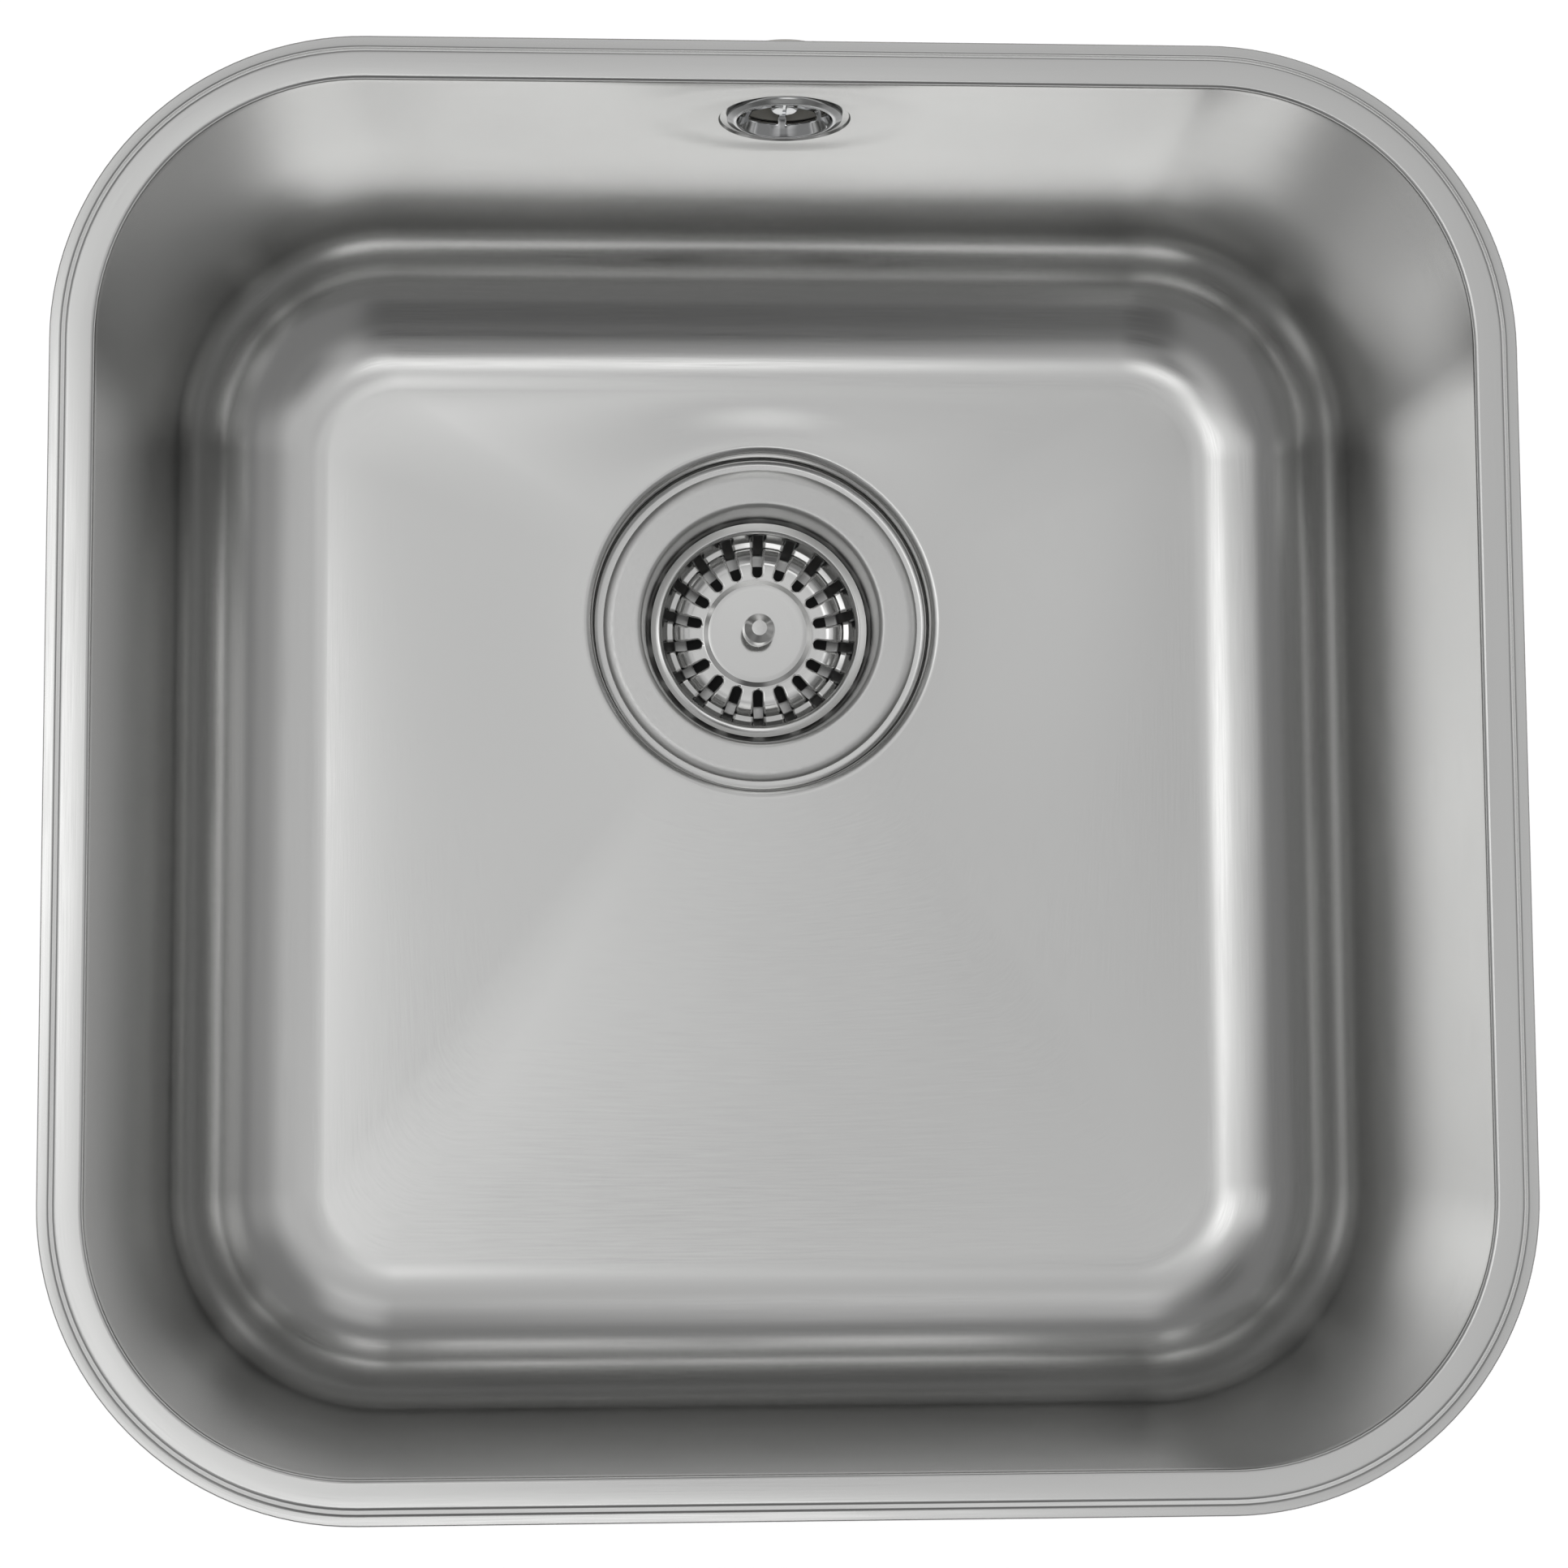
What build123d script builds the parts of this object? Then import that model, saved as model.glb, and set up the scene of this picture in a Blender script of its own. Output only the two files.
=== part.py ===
from build123d import *
import os
from math import cos, radians, sin, sqrt, tan

# Undermount kitchen sink: a square pressed bowl with a stepped flange, a basket strainer waste
# behind its centre, and an overflow on the back wall with its pipe down to the waste.
# Millimetres. Origin: centre of the flange, on its raised top face, which is glued under the worktop.
# +X to the right, +Y to the overflow wall at the back, +Z up.

os.makedirs("parts", exist_ok=True)

# ---- bowl: pressed from one sheet ----
overall = 450.0  # outer side of the square flange
flange_corner = 95.0  # outer corner radius of the flange
lip_width = 3.4  # flat outer lip, one step below the land
step_height = 1.8  # height of the 45 degree step
step_round = 1.5  # rounding of the step's two bends
land_width = 8.8  # raised land that meets the worktop
mouth_roll = 1.6  # rounding where the land turns down into the wall
sheet = 1.0  # steel thickness
draft = 3.0  # wall slope from the vertical, degrees
depth = 190.0  # land to the edge of the floor
floor_fillet = 48.0  # inside radius between wall and floor
floor_fall = 2.0  # the floor drops this much to the well
fall_inset = 1.0  # the fall starts this far inside the floor's edge
well_depth = 12.0
well_edge = 2.0  # bend radius at the well's top edge
well_root = 2.5  # inside radius at the well's floor
well_gap = 4.0  # waste flange to the well's wall
waste_back = 72.0  # waste centre behind the bowl's centre
hole_clear = 0.8  # gap round the waste cup in the well's hole

# ---- sound pads under the bowl ----
pad_thickness = 2.5
pad_glue = 0.1
pad_corner = 12.0
floor_pad_width = 270.0
floor_pad_length = 130.0
floor_pad_front = -150.0  # front edge of the floor pad
pad_well_gap = 12.0  # floor pad to the well
wall_pad_width = 200.0
wall_pad_height = 80.0
wall_pad_drop = 60.0  # land to the top edge of a wall pad

# ---- waste flange and cup ----
steel = 0.8  # sheet of the waste's pressed parts
throat_radius = 43.4  # inside of the waste cup at its top
throat_round = 2.0
flange_ring = 13.6  # throat to the flange's edge
flange_curl = 1.0  # bend radius of the flange's edge
flange_turn = 1.2  # height of the turned-down edge
cup_wall_depth = 14.0  # flange to the ledge in the cup
cup_wall_slope = 2.2  # how much the cup narrows down to the ledge
ledge_width = 3.2
cup_taper = 7.0  # ledge to the cup's floor, sideways
cup_bend = 1.6  # bend radius in the cup
port_rim = 9.0  # cup's floor outside its openings
port_edge = 0.5  # hub to the openings
port_count = 6
port_bridge = 4.0
hub_sink = 2.0  # the hub is sunk for the screw's head
hub_clear = 1.5  # round the screw's head

# ---- seals and plastic waste body ----
seat_seal = 1.2  # rubber washer under the waste flange
seal_inset = 2.0  # flange's edge to the washer
lower_seal = 2.0
gasket_inset = 1.0
gasket_round = 0.5
gasket_clear = 1.5  # gasket to the well's hole
body_flange = 4.0
body_wall = 2.6
body_clear = 1.0  # between the cup and the plastic body
chamber_drop = 26.0  # cup's floor to the bottom of the body's chamber
chamber_slope = 3.0  # fall of the chamber's floor
outlet_radius = 23.9  # G 1 1/2 thread outside
outlet_bore = 20.0
outlet_length = 30.0
thread_length = 16.0
thread_relief = 1.4
rib_count = 8
rib_thickness = 2.5
rib_inset = 2.0
spider_arms = 4
spider_arm = 3.2
branch_drop = 10.0  # cup's floor to the branch's axis
branch_length = 27.6  # body to the branch's mouth

# ---- strainer basket ----
basket_gap = 1.6  # cup's wall to the basket's rim, at the ledge
rim_gap = 1.0  # ledge to the basket's rim
rim_width = 2.8
rim_roll = 1.1
mouth_lean = 1.2  # the mouth leans out by this much
mouth_drop = 1.0
wall_lean = 2.0  # basket's wall, from its foot to the mouth
shelf_width = 2.0
shelf_rise = 0.3
shelf_drop = 6.6  # rim to the narrow shelf in the wall
bend_width = 6.6  # shelf to the flat floor, sideways
basket_depth = 11.0  # rim to the basket's floor
floor_ring = 5.0  # flat floor round the bead
bead_width = 1.8
disc_rise = 0.8  # the centre disc stands this much above the floor
slot_count = 18
slot_width = 3.5
slot_margin = 0.9  # bead to the inner end of a slot
slot_top_drop = 1.9  # rim to the top end of a slot

# ---- knob, stem and stopper ----
fit_gap = 0.05  # running and assembly clearance
stem_radius = 2.0
stem_cover = 4.5  # knob above the stem's top
stem_pocket = 0.5  # free depth above the stem, in the knob
stem_head_edge = 1.2
stem_head_height = 1.5
stem_chamfer = 0.6
knob_radius = 6.0
knob_bevel = 2.65  # width of the bevel round the flat end
knob_bevel_height = 1.6
knob_undercut = 0.6
knob_height = 14.8
knob_belly = 8.5  # height of the widest place
knob_neck = 3.6
knob_neck_top = 5.5
knob_foot_edge = 1.4
knob_foot_height = 0.8
knob_foot_slope = 1.0
stopper_overlap = 4.2  # rubber beyond the openings in the cup
stopper_thickness = 2.2
stopper_lip = 2.5
stopper_gap = 0.3  # rubber lip to the cup's floor
stopper_flat = 2.0  # flat of the rubber beyond its washer
washer_radius = 10.0
washer_thickness = 1.0
nut_flats = 7.0
nut_height = 3.2
nut_gap = 0.3  # nut to the catch

# ---- split catch, central screw and brass insert ----
catch_wall = 2.3
catch_neck = 0.7  # the catch is this much slimmer above its tip
catch_collar = 1.2
catch_collar_height = 1.4
catch_cone = 1.0
catch_tip = 4.0
catch_tip_slope = 2.0
catch_tip_taper = 1.1
catch_length = 18.0
catch_slit = 1.0
catch_solid = 5.0  # length under the collar that isn't split
collar_gap = 0.85  # catch's collar to the screw's head
socket_gap = 0.4
socket_free = 1.7  # free depth under the stem
screw_wall = 1.3
screw_head_edge = 3.5
screw_head_height = 2.0
screw_head_round = 0.7
screw_slot = 2.2
screw_reach = 6.0  # below the insert
screw_chamfer = 0.8
insert_wall = 3.0
insert_length = 12.0
insert_chamfer = 0.6

# ---- overflow rose ----
rose_drop = 34.0  # land to the rose's centre, down the wall
press_depth = 0.6  # flat pressed into the wall round the rose
press_half_width = 50.0
press_slope = 20.0  # width of the press's sloping edge
press_clear = 3.0  # press to the land, down the wall
seat_depth = 1.2
seat_gap = 2.2  # rose to the seat's edge
rose_radius = 18.3
rose_sheet = 1.0
rose_stand = 1.0  # the ring stands this far out of the wall
rose_edge = 1.2  # rounding of the ring
rose_ring = 4.1
rose_cone = 1.8
rose_depth = 5.0  # wall to the dish's floor
rose_port_edge = 0.9
rose_ports = 6
rose_spoke = 2.6
rose_hole_gap = 0.4  # dish to the hole in the wall
rose_screw_radius = 2.5
rose_screw_edge = 1.8
rose_screw_height = 2.4
rose_screw_round = 0.8
rose_screw_length = 12.0
rose_screw_slot = 1.2
rose_hub_edge = 0.9
rose_seal = 2.5

# ---- overflow elbow, pipe, seals and nuts ----
elbow_plate = 3.0
elbow_plate_edge = 1.0
elbow_wall = 2.2
elbow_clear = 1.4  # dish to the elbow's inside
elbow_depth = 21.0  # wall to the back of the elbow
elbow_round = 3.0
boss_wall = 2.0
boss_gap = 4.0  # dish to the boss that holds the insert
pipe_axis_depth = 17.5  # wall to the pipe's axis
spigot_start = 8.5  # rose's centre to the top of the spigot
pipe_radius = 9.0
pipe_wall = 1.6
pipe_insert = 13.0  # pipe inside a spigot
pipe_bend = 45.0  # radius of the pipe's bend
spigot_wall = 2.55
spigot_length = 19.0
rib_pitch = 6.0
rib_height = 1.6
rib_width = 2.8
rib_start = 12.0  # nut to the first rib
cone_seal_length = 3.2
cone_seal_edge = 0.6
cone_seal_taper = 0.8
nut_wall = 2.05
nut_length = 15.0
nut_overlap = 8.5
nut_lugs = 12
lug_width = 3.0
lug_height = 0.8
nut_bore_gap = 0.3

# ---- sizes that follow: bowl ----
slope = tan(radians(draft))
land_half = overall / 2 - lip_width - step_height
mouth_half = land_half - land_width
mouth_corner = flange_corner - lip_width - step_height - land_width
flange_radius = throat_radius + flange_ring
well_radius = flange_radius + well_gap
waste_hole = throat_radius + steel + hole_clear
well_edge_z = -depth - floor_fall
well_z = well_edge_z - well_depth

# ---- sizes that follow: cup, and basket pressed down in it ----
flange_z = well_z + seat_seal + steel  # top of the waste flange
ledge_z = flange_z - cup_wall_depth
ledge_outer = throat_radius - cup_wall_slope
ledge_inner = ledge_outer - ledge_width
cup_floor_radius = ledge_inner - cup_taper
rim_z = ledge_z + rim_gap
rim_radius = ledge_outer - basket_gap
basket_mouth = rim_radius - rim_width
wall_foot_radius = basket_mouth - mouth_lean - wall_lean
shelf_radius = wall_foot_radius - shelf_width
floor_radius = shelf_radius - bend_width
bead_outer = floor_radius - floor_ring
bead_inner = bead_outer - bead_width
slot_start = bead_outer + slot_margin
basket_z = rim_z - basket_depth
disc_z = basket_z + disc_rise
under_disc_z = disc_z - steel
knob_top_z = disc_z + knob_height

# ---- sizes that follow: the stack under the basket, down to the outlet ----
stopper_top_z = under_disc_z - fit_gap
washer_top_z = stopper_top_z - stopper_thickness
nut_top_z = washer_top_z - washer_thickness
catch_top_z = nut_top_z - nut_height - nut_gap
catch_end_z = catch_top_z - catch_length
stem_end_z = catch_end_z - fit_gap
catch_radius = stem_radius + catch_wall
screw_socket = catch_radius + socket_gap
screw_radius = screw_socket + screw_wall
screw_head = screw_radius + screw_head_edge
insert_radius = screw_radius + insert_wall
hub_radius = screw_head + hub_clear
port_inner = hub_radius + hub_sink + port_edge
port_outer = cup_floor_radius - port_rim
stopper_radius = port_outer + stopper_overlap
screw_top_z = catch_top_z - catch_collar_height - catch_cone - collar_gap
hub_z = screw_top_z - screw_head_height
cup_z = hub_z + hub_sink  # cup's floor, upper face
gasket_z = well_z - sheet
body_top_z = gasket_z - lower_seal
chamber_z = cup_z - chamber_drop
outlet_z = chamber_z - outlet_length
outlet_top_z = chamber_z - chamber_slope
branch_z = cup_z - branch_drop
inner_top = waste_hole - body_clear / 2
inner_ledge = ledge_outer + steel + body_clear
inner_foot = cup_floor_radius + steel + 2 * body_clear
body_foot = inner_foot + body_wall
branch_reach = body_foot + branch_length  # waste axis to the branch's mouth

# ---- sizes that follow: overflow ----
seat_radius = rose_radius + seat_gap
seat_back = -seat_depth - sheet
rose_dish = rose_radius - rose_ring
rose_floor = rose_dish - rose_cone
rose_port_radius = rose_floor + rose_port_edge
wall_hole = rose_dish + rose_sheet + rose_hole_gap
rose_screw_head = rose_screw_radius + rose_screw_edge
rose_hub = rose_screw_head + rose_hub_edge
rose_seal_back = seat_back - rose_seal
elbow_radius = rose_floor + rose_sheet + elbow_clear + elbow_wall
elbow_plate_radius = seat_radius + elbow_plate_edge
chamber_back = -elbow_depth
chamber_floor = chamber_back + elbow_wall
insert_front = -rose_depth - rose_sheet - boss_gap
pipe_bore = pipe_radius - pipe_wall
spigot_radius = pipe_radius + fit_gap + spigot_wall
nut_radius = spigot_radius + fit_gap + nut_wall

# ---- planes ----
down = Plane(origin=(0, 0, 0), x_dir=(1, 0, 0), z_dir=(0, 0, -1))
waste_axis = Axis((0, waste_back, 0), (0, 0, 1))
wall_normal = Vector(0, -cos(radians(draft)), sin(radians(draft)))
wall_point = Vector(0, mouth_half - rose_drop * slope, -rose_drop)
rose_plane = Plane(origin=wall_point - wall_normal * press_depth, x_dir=(1, 0, 0), z_dir=wall_normal)
rose_section = Plane(origin=rose_plane.origin, x_dir=(1, 0, 0), z_dir=-rose_plane.y_dir)
rose_axis = Axis(rose_plane.origin, rose_plane.z_dir)
pipe_plane = Plane(
    origin=rose_plane.from_local_coords((0, 0, -pipe_axis_depth)), x_dir=(1, 0, 0), z_dir=-rose_plane.y_dir
)
upper_mouth = pipe_plane.offset(elbow_radius + spigot_length)
branch_mouth = Plane(origin=(0, waste_back + branch_reach, branch_z), x_dir=(1, 0, 0), z_dir=(0, 1, 0))


def waste_level(z):
    """Horizontal plane at height z, centred on the waste."""
    return Plane(origin=(0, waste_back, z))


def waste_upright(angle):
    """Upright plane through the waste's axis, turned by an angle in degrees from the sink's front."""
    turn = radians(angle)
    return Plane(origin=(0, waste_back, 0), x_dir=(cos(turn), sin(turn), 0), z_dir=(sin(turn), -cos(turn), 0))


def wall_level(out):
    """Plane parallel to the back wall's pressed flat, moved out into the bowl."""
    return rose_plane.offset(out)


waste_section = waste_upright(0)


# ---- bowl ----
def bowl_form(grow, with_well=True):
    """Solid that fills the bowl's inside, grown by the given thickness."""
    side = 2 * (mouth_half + grow / cos(radians(draft)))
    with BuildPart() as form:
        with BuildSketch(down):
            RectangleRounded(side, side, mouth_corner + grow)
        extrude(amount=depth + grow, taper=draft)
        floor_edges = form.faces().sort_by(Axis.Z)[0].outer_wire().edges()
        fillet(floor_edges, floor_fillet + grow)
        flat_side = form.faces().sort_by(Axis.Z)[0].bounding_box().size.X - 2 * fall_inset
        fall_corner = mouth_corner - depth * slope - floor_fillet - fall_inset
        with BuildSketch(Plane.XY.offset(-depth - grow)) as floor_edge:
            RectangleRounded(flat_side, flat_side, fall_corner)
        with BuildSketch(waste_level(well_edge_z - grow)) as fall_foot:
            Circle(well_radius + 2 * well_edge)
        loft([floor_edge.sketch.face(), fall_foot.sketch.face()], ruled=True)
        if with_well:
            with BuildSketch(waste_level(well_z - grow)):
                Circle(well_radius + grow)
            extrude(amount=well_depth + floor_fall)
            circles = form.edges().filter_by(GeomType.CIRCLE)
            well_circles = circles.filter_by(lambda e: abs(e.radius - well_radius - grow) < 0.01)
            fillet(well_circles.sort_by(Axis.Z)[-1], well_edge + sheet - grow)
            fillet(well_circles.sort_by(Axis.Z)[0], well_root + grow)
    return form.part


def press_form(level, reach):
    """Shallow oval frustum of the press round the rose, from a level up by reach times the press's depth."""
    flat_height = rose_drop - press_clear - press_slope / 2
    with BuildPart() as form:
        with BuildSketch(wall_level(level)) as flat:
            Ellipse(press_half_width - press_slope, flat_height)
        with BuildSketch(wall_level(level + reach * press_depth)) as edge:
            Ellipse(press_half_width + (reach - 1) * press_slope, flat_height + reach * press_slope / 2)
        loft([flat.sketch.face(), edge.sketch.face()], ruled=True)
    return form.part


lip_z = -step_height - sheet
land_foot = land_half + step_height + sheet
under_half = land_foot - sqrt(2) * sheet
land_corner = mouth_corner + land_width

with BuildPart() as bowl:
    # flat lip, raised land and the 45 degree step between them
    with BuildSketch(Plane.XY.offset(lip_z)):
        RectangleRounded(overall, overall, flange_corner)
    extrude(amount=sheet)
    with BuildSketch(Plane.XY.offset(lip_z)):
        RectangleRounded(2 * land_foot, 2 * land_foot, land_corner + land_foot - land_half)
    extrude(amount=step_height + sheet, taper=45)
    lip_face, land_face = bowl.faces().filter_by(Axis.Z).sort_by(Axis.Z)[-2:]
    step_bends = land_face.outer_wire().edges() + lip_face.inner_wires()[0].edges()
    fillet(step_bends, step_round)
    with BuildSketch(Plane.XY.offset(lip_z)):
        RectangleRounded(2 * under_half, 2 * under_half, land_corner + under_half - land_half)
    extrude(amount=step_height, taper=45, mode=Mode.SUBTRACT)
    # outside of the bowl, with the back of the pressed flat and of its seat
    add(bowl_form(sheet))
    add(press_form(-sheet, 1.25))
    with BuildSketch(wall_level(seat_back)):
        Circle(seat_radius + sheet)
    extrude(amount=seat_depth + sheet / 2)
    # inside of the bowl, with the pressed flat, the seat and the two holes
    add(bowl_form(0), mode=Mode.SUBTRACT)
    add(press_form(0, 2), mode=Mode.SUBTRACT)
    with BuildSketch(wall_level(-seat_depth)):
        Circle(seat_radius)
    extrude(amount=2 * seat_depth, mode=Mode.SUBTRACT)
    with BuildSketch(wall_level(seat_back)):
        Circle(wall_hole)
    extrude(amount=seat_depth + sheet, mode=Mode.SUBTRACT)
    with BuildSketch(waste_level(well_z - sheet)):
        Circle(waste_hole)
    extrude(amount=sheet, mode=Mode.SUBTRACT)
    mouth_edges = bowl.faces().filter_by(Axis.Z).sort_by(Axis.Z)[-1].inner_wires()[0].edges()
    fillet(mouth_edges, mouth_roll)
bowl.part.label = "bowl"
export_step(bowl.part, "parts/bowl.step")

# ---- sound pads, glued to the underside ----
pad_outside = bowl_form(sheet + pad_glue + pad_thickness, with_well=False)
pad_inside = bowl_form(sheet + pad_glue, with_well=False)

with BuildPart() as floor_pad:
    add(pad_outside)
    add(pad_inside, mode=Mode.SUBTRACT)
    with BuildSketch(Plane.XY.offset(well_z)):
        with Locations((0, floor_pad_front + floor_pad_length / 2)):
            RectangleRounded(floor_pad_width, floor_pad_length, pad_corner)
        with Locations((0, waste_back)):
            Circle(well_radius + pad_well_gap, mode=Mode.SUBTRACT)
    extrude(amount=well_depth + floor_fall + floor_fillet / 2, mode=Mode.INTERSECT)
floor_pad.part.label = "sound_pad_floor"
export_step(floor_pad.part, "parts/sound_pad_floor.step")

for side_name, side in (("left", -1), ("right", 1)):
    with BuildPart() as wall_pad:
        add(pad_outside)
        add(pad_inside, mode=Mode.SUBTRACT)
        with BuildSketch(Plane.YZ):
            with Locations((0, -wall_pad_drop - wall_pad_height / 2)):
                RectangleRounded(wall_pad_width, wall_pad_height, pad_corner)
        extrude(amount=side * overall / 2, mode=Mode.INTERSECT)
    wall_pad.part.label = f"sound_pad_{side_name}"
    export_step(wall_pad.part, f"parts/sound_pad_{side_name}.step")

# ---- waste flange and cup: one pressing of polished steel ----
with BuildPart() as waste_flange:
    with BuildSketch(waste_section):
        with BuildLine() as cup_line:
            FilletPolyline(
                (0, hub_z),
                (hub_radius, hub_z),
                (hub_radius + hub_sink, cup_z),
                (cup_floor_radius, cup_z),
                (ledge_inner, ledge_z - ledge_width),
                (ledge_outer, ledge_z),
                (throat_radius, flange_z),
                (flange_radius, flange_z),
                (flange_radius, flange_z - flange_turn),
                radius=[steel, steel + fit_gap, cup_bend, cup_bend, cup_bend, throat_round, flange_curl],
            )
        make_face(offset(cup_line.line, amount=steel, side=Side.RIGHT).edges())
    revolve(axis=waste_axis)
    # openings in the cup's floor, between radial bridges
    with BuildSketch(waste_level(cup_z - steel)):
        Circle(port_outer)
        Circle(port_inner, mode=Mode.SUBTRACT)
        with PolarLocations(0, port_count):
            Rectangle(2 * port_outer, port_bridge, align=(Align.MIN, Align.CENTER), mode=Mode.SUBTRACT)
    extrude(amount=steel, mode=Mode.SUBTRACT)
    with BuildSketch(waste_level(hub_z - steel)):
        Circle(screw_radius + fit_gap)
    extrude(amount=steel, mode=Mode.SUBTRACT)
waste_flange.part.label = "waste_flange"
export_step(waste_flange.part, "parts/waste_flange.step")

# ---- rubber washers above and below the well's floor ----
with BuildPart() as flange_seal:
    with BuildSketch(waste_level(well_z)):
        Circle(flange_radius - seal_inset)
        Circle(waste_hole + 2 * gasket_clear, mode=Mode.SUBTRACT)
    extrude(amount=seat_seal)
flange_seal.part.label = "flange_seal"
export_step(flange_seal.part, "parts/flange_seal.step")

with BuildPart() as body_gasket:
    with BuildSketch(waste_level(body_top_z)):
        Circle(flange_radius - gasket_inset)
        Circle(waste_hole + gasket_clear, mode=Mode.SUBTRACT)
    extrude(amount=lower_seal)
    fillet(body_gasket.edges().filter_by(GeomType.CIRCLE).group_by(SortBy.RADIUS)[-1], gasket_round)
body_gasket.part.label = "body_gasket"
export_step(body_gasket.part, "parts/body_gasket.step")

# ---- plastic waste body: chamber, overflow branch and spider ----
with BuildPart() as waste_body:
    with BuildSketch(waste_section):
        with BuildLine():
            Polyline(
                (0, outlet_top_z),
                (outlet_radius - thread_relief, outlet_top_z),
                (body_foot - 2 * body_wall, chamber_z),
                (body_foot, cup_z - steel),
                (inner_ledge + body_wall, ledge_z - ledge_width),
                (inner_top + body_wall, body_top_z - body_flange),
                (flange_radius, body_top_z - body_flange),
                (flange_radius, body_top_z),
                (0, body_top_z),
                (0, outlet_top_z),
            )
        make_face()
    revolve(axis=waste_axis)
    # stiffening ribs under the flange
    for index in range(rib_count):
        with BuildSketch(waste_upright(360 / rib_count * (index + 0.5))):
            Polygon(
                (inner_ledge, body_top_z - body_flange),
                (flange_radius - rib_inset, body_top_z - body_flange),
                (body_foot, cup_z),
                (inner_foot, cup_z),
                align=None,
            )
        extrude(amount=rib_thickness / 2, both=True)
    # overflow branch towards the back wall
    with BuildSketch(Plane(origin=(0, waste_back, branch_z), x_dir=(1, 0, 0), z_dir=(0, 1, 0))):
        Circle(spigot_radius)
    extrude(amount=branch_reach)
    # chamber above, narrowing to the outlet
    with BuildSketch(waste_section):
        with BuildLine():
            Polyline(
                (0, body_top_z),
                (inner_top, body_top_z),
                (inner_ledge, ledge_z - ledge_width),
                (inner_foot, cup_z - steel),
                (inner_foot - 2 * body_wall, chamber_z + chamber_slope),
                (outlet_bore, outlet_top_z),
                (0, outlet_top_z),
                (0, body_top_z),
            )
        make_face()
    revolve(axis=waste_axis, mode=Mode.SUBTRACT)
    branch_inward = Plane(origin=branch_mouth.origin, x_dir=(1, 0, 0), z_dir=(0, -1, 0))
    with BuildSketch(branch_inward):
        Circle(pipe_radius + fit_gap)
    extrude(amount=pipe_insert, mode=Mode.SUBTRACT)
    with BuildSketch(branch_inward):
        Circle(pipe_bore)
    extrude(amount=branch_length + 4 * body_wall, mode=Mode.SUBTRACT)
    # spider with the hub that holds the brass insert
    with BuildSketch(waste_level(chamber_z)):
        Circle(insert_radius + body_wall)
        with PolarLocations(0, spider_arms, start_angle=180 / spider_arms):
            Rectangle(inner_foot - 1.5 * body_wall, spider_arm, align=(Align.MIN, Align.CENTER))
        Circle(insert_radius + fit_gap, mode=Mode.SUBTRACT)
    extrude(amount=insert_length)
waste_body.part.label = "waste_body"
export_step(waste_body.part, "parts/waste_body.step")

# ---- threaded outlet, which carries on the waste body's foot ----
with BuildPart() as waste_spigot:
    with BuildSketch(waste_section):
        with BuildLine():
            Polyline(
                (outlet_bore, outlet_z),
                (outlet_radius, outlet_z),
                (outlet_radius, outlet_z + thread_length),
                (outlet_radius - thread_relief, outlet_z + thread_length),
                (outlet_radius - thread_relief, outlet_top_z),
                (outlet_bore, outlet_top_z),
                (outlet_bore, outlet_z),
            )
        make_face()
    revolve(axis=waste_axis)
waste_spigot.part.label = "waste_spigot"
export_step(waste_spigot.part, "parts/waste_spigot.step")

with BuildPart() as body_insert:
    with BuildSketch(waste_level(chamber_z)):
        Circle(insert_radius)
        Circle(screw_radius + fit_gap, mode=Mode.SUBTRACT)
    extrude(amount=insert_length)
    chamfer(body_insert.edges().filter_by(GeomType.CIRCLE).group_by(SortBy.RADIUS)[-1], insert_chamfer)
body_insert.part.label = "body_insert"
export_step(body_insert.part, "parts/body_insert.step")

# ---- hollow fixing screw: clamps cup, seals, bowl and body, and takes the catch ----
with BuildPart() as fixing_screw:
    with BuildSketch(waste_level(hub_z)):
        Circle(screw_head)
    extrude(amount=screw_head_height)
    fillet(fixing_screw.edges().group_by(Axis.Z)[-1], screw_head_round)
    with BuildSketch(waste_level(hub_z)):
        Circle(screw_radius)
    extrude(amount=chamber_z - screw_reach - hub_z)
    chamfer(fixing_screw.edges().group_by(Axis.Z)[0], screw_chamfer)
    with BuildSketch(waste_level(screw_top_z)):
        Circle(screw_socket)
    extrude(amount=stem_end_z - stem_head_height - socket_free - screw_top_z, mode=Mode.SUBTRACT)
    with BuildSketch(waste_level(screw_top_z)):
        Rectangle(2 * screw_head, screw_slot)
    extrude(amount=-screw_head_height / 2, mode=Mode.SUBTRACT)
fixing_screw.part.label = "fixing_screw"
export_step(fixing_screw.part, "parts/fixing_screw.step")

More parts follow.
